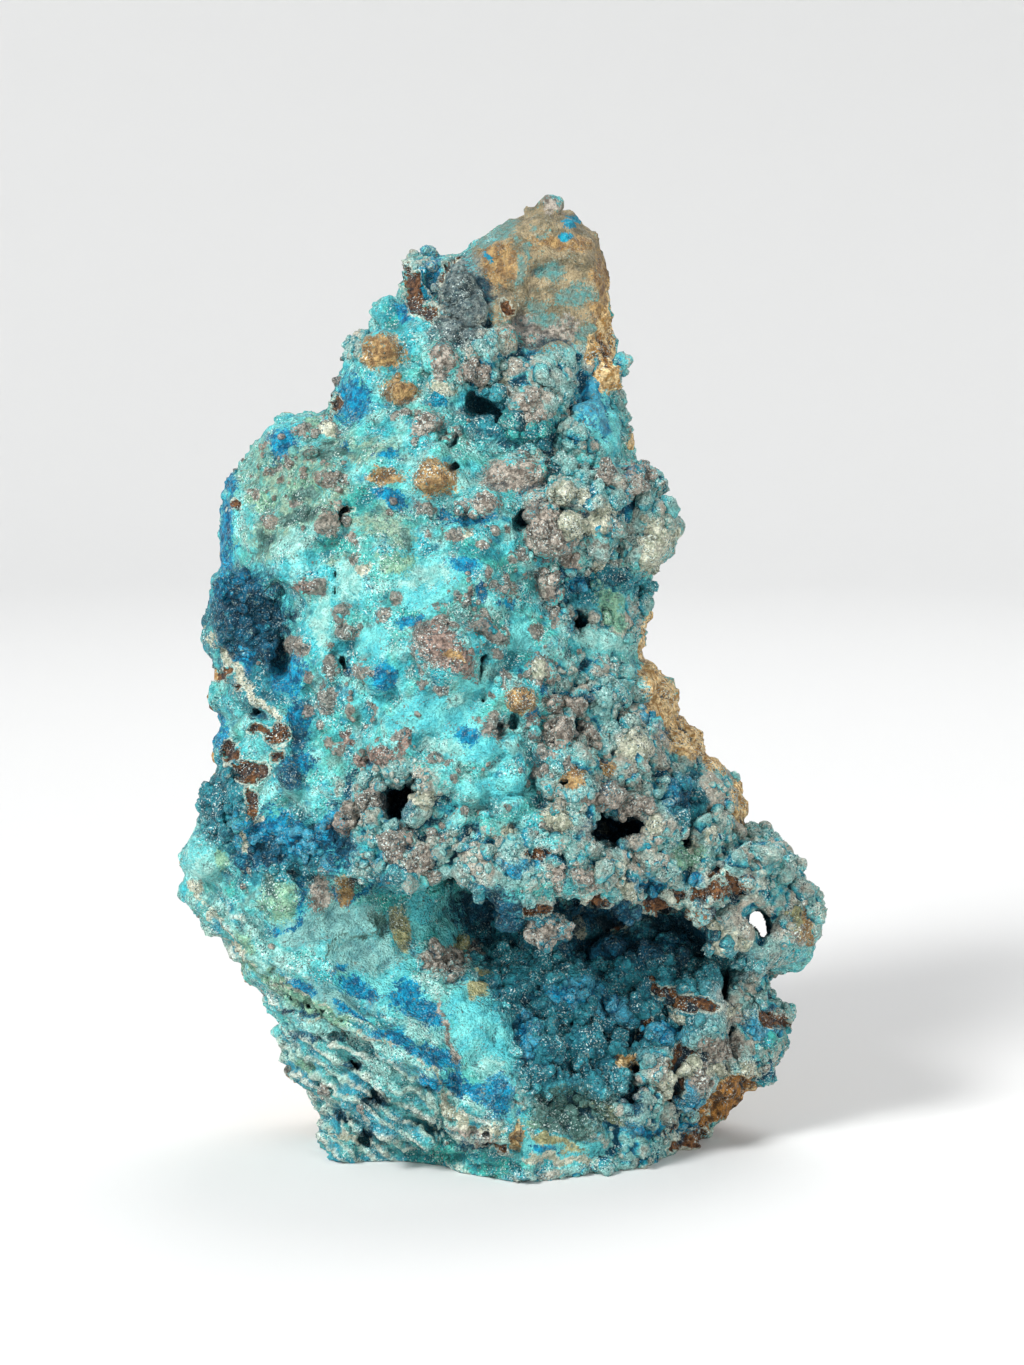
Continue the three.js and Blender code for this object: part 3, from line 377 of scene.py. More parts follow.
# Patches of each ground in the reference view: pixel x, pixel y, half width and half height in pixels, and
# for some a turn in degrees
PATCHES = {
    "druse": [
        (565, 400, 68, 62), (472, 310, 24, 42), (420, 262, 14, 10), (605, 515, 78, 55), (650, 800, 100, 115),
        (470, 862, 125, 30), (755, 895, 70, 72), (650, 1050, 155, 115), (515, 995, 58, 62),
        (225, 815, 22, 36), (560, 930, 130, 34), (392, 805, 56, 46), (620, 1185, 110, 18),
        (460, 305, 26, 40), (590, 710, 46, 56), (500, 370, 40, 30), (290, 850, 50, 25), (700, 1000, 90, 60),
        (442, 966, 26, 18), (355, 345, 20, 16), (250, 620, 40, 46, 20), (640, 1160, 90, 26),
        (600, 600, 50, 50),
    ],
    "peas": [
        (500, 800, 95, 52), (370, 735, 60, 34), (545, 720, 44, 60), (300, 480, 50, 46), (500, 600, 60, 56),
        (440, 420, 50, 24), (350, 640, 26, 60), (470, 520, 50, 20),
    ],
    "chunky": [(600, 512, 76, 52), (755, 905, 62, 60), (630, 775, 50, 60), (560, 925, 70, 20)],
    "smooth": [
        (545, 285, 62, 66), (560, 240, 44, 26), (350, 920, 44, 28), (364, 953, 36, 24),
        (390, 1005, 60, 30, -30), (560, 1150, 44, 16), (470, 1030, 28, 34, -25), (487, 1062, 26, 20),
        (420, 915, 30, 24), (322, 616, 12, 40), (400, 572, 60, 18), (476, 553, 44, 13, -20),
        (440, 715, 46, 26), (282, 901, 22, 22), (208, 862, 22, 20), (520, 647, 15, 28), (409, 606, 13, 16),
    ],
    "aqua": [
        (340, 918, 40, 22, -8), (364, 953, 36, 24), (330, 940, 24, 20), (426, 578, 34, 20, 10),
        (560, 1150, 46, 14), (395, 960, 20, 14, -30), (348, 590, 16, 30), (322, 616, 12, 40),
        (466, 1010, 20, 26, -25), (484, 1040, 26, 32, -20), (596, 408, 20, 30), (500, 1062, 14, 16),
        (440, 715, 48, 20), (470, 750, 30, 14), (410, 720, 24, 14), (470, 690, 14, 12), (425, 600, 26, 14),
        (450, 485, 34, 8, 20), (455, 905, 40, 14), (420, 912, 14, 26), (446, 936, 12, 16),
        (600, 645, 30, 10, -8), (204, 862, 20, 20), (470, 660, 8, 14), (300, 930, 18, 22),
        (390, 990, 30, 14, -20), (520, 640, 14, 16), (372, 640, 18, 14), (500, 790, 40, 12),
        (440, 1020, 10, 16), (612, 604, 24, 12, 20), (606, 425, 14, 26),
    ],
    "haze": [
        (290, 475, 52, 36), (350, 448, 46, 14), (395, 535, 22, 14, -40), (300, 510, 40, 24),
        (270, 540, 26, 20), (378, 520, 30, 14, -10), (345, 500, 22, 16), (340, 560, 16, 10),
    ],
    # Dim ground: partly the crust's darker teal, partly painted shade in caves, under the ledge and in the
    # bowl beneath it.
    "dim": [
        (588, 590, 34, 18), (620, 580, 24, 12, -20), (600, 1000, 100, 60), (570, 1060, 60, 40),
        (620, 960, 120, 34), (285, 845, 66, 36), (245, 620, 44, 56), (260, 680, 30, 34),
        (510, 430, 50, 14, -10), (686, 800, 16, 26), (545, 1060, 30, 34), (484, 410, 26, 18),
        (225, 800, 22, 50), (395, 318, 14, 10), (500, 990, 30, 40), (500, 930, 60, 26), (253, 878, 18, 12),
        (384, 882, 20, 10),
    ],
    "powder": [(350, 922, 44, 20), (364, 955, 34, 20), (300, 932, 22, 18), (335, 998, 34, 12, -25)],
    "teal": [
        (480, 553, 32, 12, -20), (409, 604, 13, 17), (520, 647, 14, 27), (440, 895, 44, 14),
        (422, 918, 14, 22), (442, 934, 12, 15), (232, 888, 9, 10), (385, 905, 20, 14), (500, 1165, 34, 14),
        (395, 315, 16, 14), (440, 1155, 40, 10), (530, 430, 24, 10), (770, 1035, 12, 14),
        (360, 500, 26, 12, 20), (330, 545, 20, 14),
    ],
    "pale": [
        (426, 577, 28, 11, 10), (348, 584, 13, 22), (322, 616, 9, 36), (340, 950, 18, 13),
        (364, 953, 32, 20), (350, 918, 22, 14), (204, 864, 18, 17), (253, 932, 13, 10, -40),
        (606, 643, 34, 8, -8), (440, 745, 20, 8), (470, 480, 24, 7, 20), (455, 700, 14, 6, 30),
        (330, 905, 12, 20), (489, 1068, 18, 13), (468, 1101, 22, 8, -30), (425, 1030, 26, 9, -25),
        (275, 955, 22, 10, -38), (430, 985, 20, 10, -30), (380, 1070, 30, 6, -25), (300, 540, 30, 9, 30),
        (216, 912, 30, 8, -52), (262, 968, 32, 9, -48), (240, 935, 14, 6, -50), (288, 1002, 20, 7, -36),
        (330, 1030, 26, 4, -22), (380, 1080, 18, 4, -28),
    ],
    "mint": [
        (281, 901, 21, 22), (396, 563, 20, 12), (312, 424, 9, 7), (304, 490, 16, 8), (318, 1012, 34, 9, -28),
        (246, 945, 18, 8, -50), (300, 1000, 24, 12, -30), (262, 500, 16, 9), (609, 609, 13, 24, 20),
        (278, 985, 26, 7, -28), (252, 968, 14, 5, -40), (330, 1012, 22, 5, -28), (221, 862, 6, 14),
        (690, 855, 18, 12), (700, 725, 8, 6), (540, 1122, 18, 6), (305, 1066, 12, 8, -30),
    ],
    "azure": [
        (283, 443, 14, 17), (385, 454, 12, 4), (392, 499, 20, 7, -25), (468, 520, 26, 6), (444, 513, 7, 8),
        (227, 524, 8, 26), (222, 560, 9, 16), (463, 566, 16, 8), (240, 598, 26, 24), (300, 722, 13, 24),
        (298, 763, 16, 12), (290, 674, 16, 22), (335, 840, 18, 30), (385, 677, 12, 15), (505, 604, 7, 6),
        (481, 590, 7, 10), (469, 736, 13, 9), (357, 987, 22, 9, -20), (411, 990, 16, 10, -30),
        (425, 1012, 24, 13, -35), (399, 1041, 26, 8, -20), (436, 1057, 26, 9, -25), (303, 987, 13, 6, -10),
        (470, 1090, 34, 8, -28), (500, 1097, 12, 20), (352, 1012, 20, 5, -35), (578, 584, 14, 8),
        (440, 402, 8, 6), (408, 1006, 20, 10, -35), (407, 312, 9, 12), (262, 858, 22, 11),
        (300, 842, 20, 13), (589, 397, 15, 22, 10), (603, 428, 7, 12), (221, 735, 8, 24), (266, 830, 30, 22),
        (352, 398, 16, 22), (230, 487, 8, 12), (650, 700, 8, 30), (543, 692, 6, 9), (532, 716, 7, 4),
        (545, 1150, 14, 5), (575, 995, 26, 14), (760, 1025, 18, 12), (690, 1128, 10, 8), (690, 1085, 9, 22),
        (240, 655, 16, 20), (519, 864, 18, 8), (381, 856, 12, 9), (408, 622, 14, 6), (610, 1010, 18, 10),
        (660, 1034, 26, 8), (675, 798, 12, 14), (640, 1130, 22, 9), (525, 1035, 10, 22), (690, 880, 12, 7),
        (650, 885, 16, 8), (341, 966, 5, 6), (345, 450, 8, 6),
    ],
    # Deep blue ground: partly the mineral's own deep blue on the left, partly painted shade in the cave under
    # the ledge and in holes, pits, slits and cracks.
    "deep": [
        (252, 614, 36, 34), (270, 646, 16, 18), (262, 856, 24, 12), (300, 742, 14, 18), (340, 846, 13, 24),
        (290, 775, 16, 12), (576, 622, 12, 11), (562, 572, 10, 8), (431, 288, 4, 10), (452, 315, 4, 16),
        (484, 908, 40, 20), (600, 915, 60, 14), (685, 930, 36, 20), (620, 948, 80, 14), (398, 802, 18, 20),
        (614, 829, 28, 20), (631, 1098, 13, 15), (526, 521, 9, 9), (571, 1106, 20, 9), (675, 798, 9, 14),
        (376, 1101, 12, 6), (345, 1119, 10, 6), (368, 1133, 11, 6), (633, 1039, 8, 12), (353, 1066, 8, 6),
        (351, 667, 4, 12), (516, 673, 3, 7), (570, 496, 4, 12), (622, 511, 8, 5), (257, 716, 8, 4),
        (479, 1145, 20, 6),
    ],
    # The first cream spot stands in for light on a shaded nodule of the cluster: painted light.
    "cream": [
        (587, 524, 20, 12), (329, 428, 9, 9), (345, 1140, 16, 5, -20), (652, 556, 11, 13), (361, 567, 5, 7),
        (558, 494, 10, 9), (585, 498, 12, 7), (604, 511, 8, 8), (632, 749, 17, 14), (622, 876, 9, 14, 20),
        (627, 893, 5, 13), (693, 848, 8, 6), (707, 838, 7, 5), (441, 388, 12, 9), (407, 795, 10, 9),
        (424, 797, 11, 7), (601, 827, 12, 7), (739, 939, 8, 8), (721, 932, 8, 7), (719, 946, 9, 8),
        (594, 563, 6, 7), (656, 540, 13, 18, 10), (648, 566, 8, 8), (673, 534, 6, 5), (197, 888, 9, 7, -30),
        (581, 930, 7, 8), (506, 833, 9, 6), (655, 827, 9, 9), (560, 1158, 34, 4), (500, 385, 8, 8),
        (749, 1068, 10, 8), (554, 823, 10, 12), (722, 1070, 13, 8), (694, 1071, 8, 6), (729, 1010, 9, 6),
        (660, 1086, 7, 6), (676, 1018, 9, 5), (538, 669, 9, 9), (613, 346, 4, 20), (571, 246, 5, 5),
        (466, 532, 5, 5),
    ],
    "rose": [
        (540, 328, 38, 15), (702, 1082, 10, 12), (275, 468, 7, 5), (312, 456, 8, 4, 20), (258, 498, 5, 7),
        (336, 506, 9, 5, -20), (350, 537, 8, 6), (296, 500, 6, 4), (514, 476, 34, 17), (547, 532, 20, 21),
        (440, 360, 14, 20), (556, 734, 14, 12), (590, 735, 12, 10), (486, 503, 16, 12), (545, 933, 17, 10),
        (572, 557, 10, 8), (551, 206, 9, 9), (602, 476, 12, 9), (530, 412, 14, 14), (425, 425, 17, 14),
        (721, 1050, 20, 12), (800, 925, 8, 16), (546, 584, 12, 15), (582, 876, 9, 8), (557, 874, 11, 9),
        (735, 1016, 8, 9), (708, 1066, 14, 12), (633, 807, 16, 12), (474, 1131, 26, 6, -12),
        (320, 892, 10, 20), (442, 964, 24, 16), (421, 861, 13, 12), (565, 708, 18, 8), (475, 953, 10, 9),
        (350, 812, 12, 14), (595, 800, 11, 10),
    ],
    # Mauve and rose are one colour in two copies, darker on the frontally lit dome and lighter in the shaded
    # clusters: painted light.
    "mauve": [
        (438, 640, 18, 20), (456, 658, 20, 16), (378, 755, 14, 11), (358, 762, 9, 8), (404, 745, 8, 7),
        (468, 672, 8, 9), (303, 584, 11, 6), (349, 738, 8, 7),
    ],
    "slab": [(545, 290, 64, 60), (500, 262, 32, 26), (590, 280, 24, 70), (548, 232, 56, 34)],
    "tan": [
        (385, 352, 22, 20), (386, 477, 20, 9), (436, 478, 22, 20, 20), (520, 699, 15, 15), (573, 779, 12, 9),
        (805, 925, 6, 18), (400, 392, 20, 12), (607, 770, 9, 8), (456, 656, 9, 6, -30), (344, 888, 10, 16),
        (500, 264, 20, 24), (560, 244, 36, 7), (600, 300, 9, 50),
    ],
    "straw": [
        (401, 929, 9, 25, 10), (459, 946, 8, 8), (478, 988, 9, 13), (602, 1110, 24, 5, -38),
        (556, 1143, 28, 5, -12), (795, 915, 5, 14),
    ],
    "bark": [(722, 1100, 36, 12, 42), (750, 1083, 16, 6), (703, 1121, 9, 14), (604, 352, 5, 18, 20)],
    # Ochre: the rock's own colour, lightened to stand in for light on right-hand faces that turn from the
    # key: partly painted light.
    "ochre": [
        (608, 348, 11, 44), (592, 350, 9, 15), (603, 378, 10, 10), (662, 702, 17, 40, 24),
        (688, 738, 26, 22), (712, 760, 20, 14, -40), (742, 804, 11, 36), (724, 1098, 34, 14, 42),
        (645, 640, 6, 38), (750, 1083, 16, 8), (634, 441, 7, 8), (703, 1121, 9, 14), (628, 1062, 13, 9),
        (519, 1138, 8, 14), (608, 300, 3, 22),
    ],
    "rust": [
        (413, 290, 11, 24, 18), (446, 272, 5, 12), (459, 263, 5, 4), (430, 312, 9, 7), (418, 297, 12, 5),
        (237, 507, 6, 5), (221, 675, 9, 9), (240, 688, 5, 4), (277, 733, 9, 13), (256, 730, 14, 5, 10),
        (231, 752, 8, 11), (249, 772, 20, 10), (276, 757, 6, 7), (249, 802, 5, 14), (537, 853, 13, 6),
        (536, 910, 13, 7, -10), (658, 904, 18, 8, -12), (675, 893, 7, 5), (707, 894, 22, 9, 5),
        (738, 887, 16, 8, -35), (713, 873, 8, 7), (614, 924, 14, 6), (598, 900, 12, 6, -15),
        (688, 1004, 27, 7, -8), (656, 988, 8, 7), (668, 992, 6, 8), (683, 1052, 11, 8), (677, 1072, 10, 20),
        (673, 1101, 12, 12), (688, 1141, 22, 8, 15), (667, 1130, 7, 6), (774, 1020, 17, 6, -25),
        (641, 1026, 6, 11, -30), (336, 402, 4, 12, -20), (343, 508, 10, 4), (398, 882, 5, 4),
        (490, 1144, 12, 4), (785, 868, 4, 5), (789, 885, 4, 4), (500, 1148, 8, 4), (507, 307, 9, 6),
    ],
    "olive": [
        (571, 1113, 38, 26), (379, 920, 11, 10), (407, 543, 16, 4, -55), (264, 541, 9, 11),
        (270, 888, 8, 14), (306, 494, 12, 6), (330, 452, 24, 7), (545, 272, 10, 6), (300, 515, 20, 8, 20),
    ],
    "dots": [(566, 234, 6, 5), (573, 221, 8, 6), (437, 402, 9, 7), (489, 256, 7, 4), (424, 284, 5, 20, 10)],
    "slate": [(462, 296, 24, 42), (455, 330, 26, 16)],
    "mottle": [
        (554, 272, 14, 9), (572, 297, 22, 12), (534, 305, 9, 7), (542, 239, 6, 4), (520, 272, 5, 18),
        (590, 335, 14, 10), (505, 230, 14, 9, 30), (533, 230, 4, 3), (549, 230, 5, 3), (517, 241, 4, 4),
        (528, 249, 5, 5), (490, 242, 14, 5, 30), (548, 318, 16, 7),
    ],
    "strata": [
        (230, 935, 22, 34, 40), (290, 990, 30, 22, -30), (330, 1060, 60, 50), (400, 1110, 60, 46),
        (360, 1130, 55, 40), (450, 1140, 70, 34, -15), (300, 1090, 30, 40), (480, 1150, 50, 24),
        (400, 1160, 80, 26), (420, 1182, 120, 18),
    ],
    "clear": [(757, 924, 24, 28), (684, 530, 16, 30), (206, 606, 14, 60)],
}

# Bent seams of each ground: half width in pixels and the route in pixels
SEAMS = {
    "clear": [
        (9, [(728, 958), (724, 984), (726, 1014), (731, 1043), (740, 1071)]),
    ],
    "pale": [
        (4, [(241, 962), (259, 979), (278, 991), (297, 1000), (330, 1012)]),
        (3, [(291, 1026), (323, 1031), (345, 1036), (400, 1054), (432, 1072)]),
    ],
    "olive": [
        (1.5, [(312, 956), (323, 961), (329, 944), (336, 937), (348, 932), (368, 936), (388, 932)]),
    ],
    "rose": [
        (3, [(439, 1001), (442, 1021), (449, 1038), (456, 1062)]),
    ],
    "cream": [
        (4, [(207, 630), (222, 648), (235, 672), (249, 688), (257, 704)]),
        (3, [(257, 704), (270, 710), (285, 718)]),
        (1.2, [(186, 884), (206, 905), (226, 935), (245, 958), (262, 973), (296, 992), (330, 1008)]),
        (1.2, [(300, 1020), (345, 1030), (400, 1048), (434, 1068), (445, 1100), (470, 1122)]),
        (3, [(440, 1098), (452, 1116), (475, 1128), (502, 1134)]),
        (3, [(262, 813), (238, 828), (250, 845)]),
        (3, [(530, 1163), (575, 1158), (600, 1162)]),
        (2, [(186, 884), (206, 905), (226, 935), (245, 958)]),
    ],
    # Dark lines along slits of the lower left and the edge of the left hollow: painted shade.
    "deep": [
        (2, [(249, 609), (272, 618), (298, 619)]),
        (2, [(291, 1034), (312, 1036), (341, 1040)]),
        (2, [(278, 1009), (300, 1014), (323, 1022)]),
    ],
    "azure": [
        (3, [(330, 890), (345, 902), (362, 892), (380, 880)]),
        (3, [(300, 880), (305, 900), (300, 925), (280, 930)]),
        (6, [(425, 1080), (450, 1088), (480, 1092), (500, 1082)]),
        (4, [(437, 259), (433, 280), (426, 302)]),
    ],
}


def to_plane(px, py):
    """Pixels of the reference view to millimetres across and up in the picture plane."""
    return (px - PICTURE_CENTRE[0]) * PIXEL, (PICTURE_CENTRE[1] - py) * PIXEL


def to_world(across, up, near):
    """Across, up and towards the eye, in mm, to the frame's axes, in mm."""
    shrink = 1 - near / VIEW_DISTANCE
    height = up * shrink
    tilt_sin, tilt_cos = math.sin(VIEW_TILT), math.cos(VIEW_TILT)
    x = across * shrink + CENTRE_SHIFT[0]
    y = height * tilt_sin - near * tilt_cos + CENTRE_SHIFT[1]
    z = height * tilt_cos + near * tilt_sin + LIFT
    return x, y, z


def scatter(i, j):
    """A repeatable number from 0 to 1 for two whole numbers."""
    value = math.sin(i * 127.1 + j * 311.7) * 43758.5453
    return value - math.floor(value)


# Corners of a cell, counted by bits across, up and deep, and the edges between them
CORNERS = [(n & 1, (n >> 1) & 1, n >> 2) for n in range(8)]
EDGES = [(a, a | bit) for a in range(8) for bit in (1, 2, 4) if not a & bit]


def hashed(cells, seed):
    """A repeatable number from 0 to 1 for each whole-number place."""
    n = cells[:, 0] * 73856093 ^ cells[:, 1] * 19349663 ^ cells[:, 2] * 83492791 ^ seed * 974634777
    n = (n ^ (n >> 13)) * 1274126177
    return ((n ^ (n >> 16)) & 0xFFFFFF) / 0x1000000


def grain(points, size, seed):
    """Smooth noise from -1 to 1, with lumps of the given size."""
    scaled = points / size
    base = np.floor(scaled).astype(np.int64)
    part = scaled - base
    part = part * part * (3 - 2 * part)
    total = np.zeros(len(points))
    for corner in CORNERS:
        total += np.where(corner, part, 1 - part).prod(1) * hashed(base + corner, seed)
    return 2 * total - 1


def rough(points, size, seed, octaves=3):
    """Grain on grain, each half the size and height of the last."""
    return sum(grain(points, size / 2 ** n, seed + n) / 2 ** n for n in range(octaves))


def grapes(points, size, seed):
    """Round bumps, 1 on their tops and 0 in the clefts, about the given size apart."""
    scaled = points / size
    base = np.floor(scaled).astype(np.int64)
    nearest = np.full(len(points), np.inf)
    for offset in np.ndindex(3, 3, 3):
        cell = base + offset - 1
        middle = cell + np.stack([hashed(cell, seed + n) for n in range(3)], axis=1)
        nearest = np.minimum(nearest, ((scaled - middle) ** 2).sum(1))
    return np.clip(1 - nearest, 0, 1)


def step(value, low, high):
    """0 below low, 1 above high and smooth between."""
    t = np.clip((value - low) / (high - low), 0, 1)
    return t * t * (3 - 2 * t)


def join(a, b, soft):
    """Smooth union of two distances."""
    h = np.maximum(soft - np.abs(a - b), 0) / soft
    return np.minimum(a, b) - h * h * soft / 4


def cut(a, b, soft):
    """Smooth overlap of two distances."""
    return -join(-a, -b, soft)


def carve(a, b, soft):
    """Smooth cut of the second form out of the first."""
    return cut(a, -b, soft)


class Table:
    """Functions of the picture plane, worked out once on a fine grid and read back between its points."""

    def __init__(self):
        corners = np.array([to_plane(*p) for p in OUTLINE])
        low, high = corners.min(0) - TABLE_EDGE, corners.max(0) + TABLE_EDGE
        self.low = low
        self.xs = np.arange(low[0], high[0], TABLE_STEP)
        self.ys = np.arange(low[1], high[1], TABLE_STEP)
        self.x, self.y = np.meshgrid(self.xs, self.ys)
        self.outline = corners
        self.layers = {}

    def between(self, places):
        """Depth between the listed places, each blending into the next."""
        total = np.zeros_like(self.x)
        weights = np.zeros_like(self.x)
        for px, py, depth in places:
            ax, ay = to_plane(px, py)
            away = (self.x - ax) ** 2 + (self.y - ay) ** 2 + FACE_SOFTNESS ** 2
            weight = 1 / (away * away)
            total += weight * depth
            weights += weight
        return total / weights

    def plane(self, face):
        """Depth of a flat face."""
        px, py, depth, across, up = face
        ax, ay = to_plane(px, py)
        return depth + across * (self.x - ax) + up * (self.y - ay)

    def away_from(self, a, b):
        """Distance to a straight stretch."""
        dx, dy = b[0] - a[0], b[1] - a[1]
        along = np.clip(((self.x - a[0]) * dx + (self.y - a[1]) * dy) / (dx * dx + dy * dy), 0, 1)
        return np.hypot(self.x - a[0] - along * dx, self.y - a[1] - along * dy)

    def inside(self):
        """Distance inside the outline, negative outside."""
        nearest = np.full_like(self.x, np.inf)
        within = np.zeros(self.x.shape, bool)
        previous = np.roll(self.outline, 1, axis=0)
        for a, b in zip(previous, self.outline):
            nearest = np.minimum(nearest, self.away_from(a, b))
            if a[1] != b[1]:
                crosses = (a[1] > self.y) != (b[1] > self.y)
                within ^= crosses & (self.x < (b[0] - a[0]) * (self.y - a[1]) / (b[1] - a[1]) + a[0])
        return np.where(within, nearest, -nearest)

    def height_of(self, route):
        """Height of a route that runs from left to right."""
        line = np.array([to_plane(*p) for p in route])
        return np.interp(self.x, line[:, 0], line[:, 1])

    def spots(self, places):
        """1 in the middle of each place, 0.5 at its edge and 0 outside it."""
        total = np.zeros_like(self.x)
        for px, py, wide, high, *turn in places:
            ax, ay = to_plane(px, py)
            c, s = math.cos(math.radians(sum(turn))), math.sin(math.radians(sum(turn)))
            along = ((self.x - ax) * c + (self.y - ay) * s) / (wide * PIXEL)
            over = ((self.y - ay) * c - (self.x - ax) * s) / (high * PIXEL)
            total = np.maximum(total, 1 - 0.5 * (along ** 2 + over ** 2))
        return total

    def seams(self, lines):
        """1 along each line, 0.5 at its edge and 0 outside it."""
        total = np.zeros_like(self.x)
        for half, route in lines:
            route = [to_plane(*p) for p in route]
            for a, b in zip(route, route[1:]):
                total = np.maximum(total, 1 - 0.5 * self.away_from(a, b) / (half * PIXEL))
        return total

    def read(self, name, x, y):
        """The named function at any places, by its four nearest points."""
        layer = self.layers[name]
        u = np.clip((x - self.low[0]) / TABLE_STEP, 0, len(self.xs) - 1.001)
        v = np.clip((y - self.low[1]) / TABLE_STEP, 0, len(self.ys) - 1.001)
        i, j = u.astype(int), v.astype(int)
        fu, fv = u - i, v - j
        top = layer[j, i] * (1 - fu) + layer[j, i + 1] * fu
        bottom = layer[j + 1, i] * (1 - fu) + layer[j + 1, i + 1] * fu
        return top * (1 - fv) + bottom * fv


def waves(x, y, turn):
    """Unevenness of a face."""
    total = 0
    for i, (length, height) in enumerate(WAVES):
        k = 2 * math.pi / length
        bend = 1.7 * np.sin(k * 0.45 * (x - y) + turn + i)
        total = total + height * np.sin(k * x + bend + turn) * np.cos(k * y * 0.9 - bend + 2 * turn + i)
    return total


def round_off(inside, radius):
    """Share of the way from the rim to the face, along a quarter of a circle."""
    t = np.clip(inside / radius, 0, 1)
    return np.sqrt(1 - (1 - t) ** 2)


def make_table():
    """All functions of the picture plane that the rock's shape and its patches need."""
    table = Table()
    inside = table.inside()
    rim = table.between(RIM)
    rounding = round_off(inside, table.between(FRONT_ROUNDING))
    slab = step(table.spots(PATCHES["slab"]), 0.1, 0.9)
    uneven = waves(table.x, table.y, 0.7) * (1 - 0.8 * slab)
    upper = table.between(UPPER_FACE)
    upper += (table.plane(SLAB_FACE) - upper) * slab
    back = np.maximum.reduce([table.plane(face) for face in BACK_FACES]) + waves(table.x, table.y, 2.1)
    table.layers = {
        "inside": inside,
        "rim": rim,
        "upper": rim + (upper + uneven - rim) * rounding,
        "lower": rim + (table.between(LOWER_FACE) + uneven - rim) * rounding,
        "back": rim + (back - rim) * round_off(inside, BACK_ROUNDING),
        "lip": table.height_of(LIP),
        "bedding": table.y - table.height_of(RIM_RIDGE),
        "bud": table.spots(BUDS),
    }
    for name, places in PATCHES.items():
        table.layers[name] = table.spots(places)
    for name, lines in SEAMS.items():
        table.layers[name] = np.maximum(table.layers[name], table.seams(lines))
    return table


def on_face(table, px, py, out, low):
    """A point of the reference view on the face it belongs to."""
    x, y = to_plane(px, py)
    name = "lower" if low else "upper"
    return x, y, float(table.read(name, np.array([x]), np.array([y]))[0]) + out


def is_low(table, px, py):
    """Whether a point of the reference view is under the ledge."""
    x, y = to_plane(px, py)
    return y < float(table.read("lip", np.array([x]), np.array([y]))[0])


def grow_nodules(table):
    """Nodules on a jittered lattice inside each patch, as (centre, radius)."""
    grown = []
    pitch = NODULE_PITCH / PIXEL
    for patch, (cx, cy, wide, high, low) in enumerate(NODULE_PATCHES):
        for i in range(math.ceil(-wide / pitch), math.floor(wide / pitch) + 1):
            for j in range(math.ceil(-high / pitch), math.floor(high / pitch) + 1):
                px = (i + NODULE_JITTER * (scatter(i + 50 * patch, j) - 0.5)) * pitch
                py = (j + NODULE_JITTER * (scatter(i, j + 50 * patch) - 0.5)) * pitch
                if (px / wide) ** 2 + (py / high) ** 2 > 1:
                    continue
                spread = scatter(i + 31 * patch, j + 17)
                r = NODULE_RADIUS[0] + (NODULE_RADIUS[1] - NODULE_RADIUS[0]) * spread
                x, y = to_plane(cx + px, cy + py)
                if table.read("inside", np.array([x]), np.array([y]))[0] < r / 2:
                    continue
                grown.append((on_face(table, cx + px, cy + py, NODULE_OUT * r, low), (r, r, r)))
    return grown


def make_forms(table):
    """Every lump, ridge, hollow and slit with its place in depth."""
    lumps = [(on_face(table, px, py, out, low), (r, r, r)) for px, py, r, out, low in LUMPS]
    lumps += grow_nodules(table)
    for px, py, wide, high in BUDS:
        size = (wide * PIXEL, high * PIXEL, min(wide, high) * PIXEL)
        lumps.append((on_face(table, px, py, BUD_OUT * size[2], is_low(table, px, py)), size))
    ridges = [(r, [on_face(table, px, py, out, low) for px, py in route]) for r, out, low, route in RIDGES]
    hollows = [((*to_plane(px, py), depth), size) for px, py, depth, *size in HOLLOWS]
    for px, py, r in PITS:
        for n in range(PIT_PARTS):
            turn = 2 * math.pi * scatter(px, py + n)
            aside = (0.65 * r * math.cos(turn), 0.65 * r * math.sin(turn))
            centre = on_face(table, px + aside[0], py + aside[1], 0, is_low(table, px, py))
            part = r * PIXEL * (0.35 + 0.4 * scatter(px + n, py))
            hollows.append((centre, (part, part * (0.5 + 0.9 * scatter(n, px)), PIT_DEPTH)))
    slits = [(half, deep, [on_face(table, px, py, 0, low) for px, py in route])
             for half, deep, low, route in SLITS]
    return lumps, ridges, hollows, slits


def grid_lines(table):
    """Depth of each layer of the grid, and its places across and up at the front."""
    near = [NEAR]
    while near[-1] > FAR:
        behind = max(COARSE_FROM - near[-1], 0) / (COARSE_FROM - FAR)
        near.append(near[-1] - (CELL + (COARSE_CELL - CELL) * behind))
    low, high = table.outline.min(0), table.outline.max(0)
    middle = (low + high) / 2
    counts = np.ceil((high - low) / CELL).astype(int) + 2 * MARGIN
    xs = (np.arange(counts[0]) - (counts[0] - 1) / 2) * CELL
    ys = (np.arange(counts[1]) - (counts[1] - 1) / 2) * CELL
    near = np.array(near)
    spread = 1 + (BACK_SPREAD - 1) * (np.clip(COARSE_FROM - near, 0, None) / (COARSE_FROM - FAR)) ** 1.5
    return near, spread, xs, ys, middle


def side_lumps(x, y, near, rim):
    """Lumps of the sides, which fade out at the rim."""
    k = 2 * math.pi / SIDE_WAVE
    fade = np.minimum(np.abs(near - rim) / SIDE_WAVE_START, 1)
    broad = np.sin(k * (y + 0.3 * near)) * np.sin(k * (near * 1.1 + 0.25 * x))
    narrow = 0.5 * np.sin(k * 1.9 * (x - y))
    return SIDE_WAVE_HEIGHT * fade * (broad + narrow)


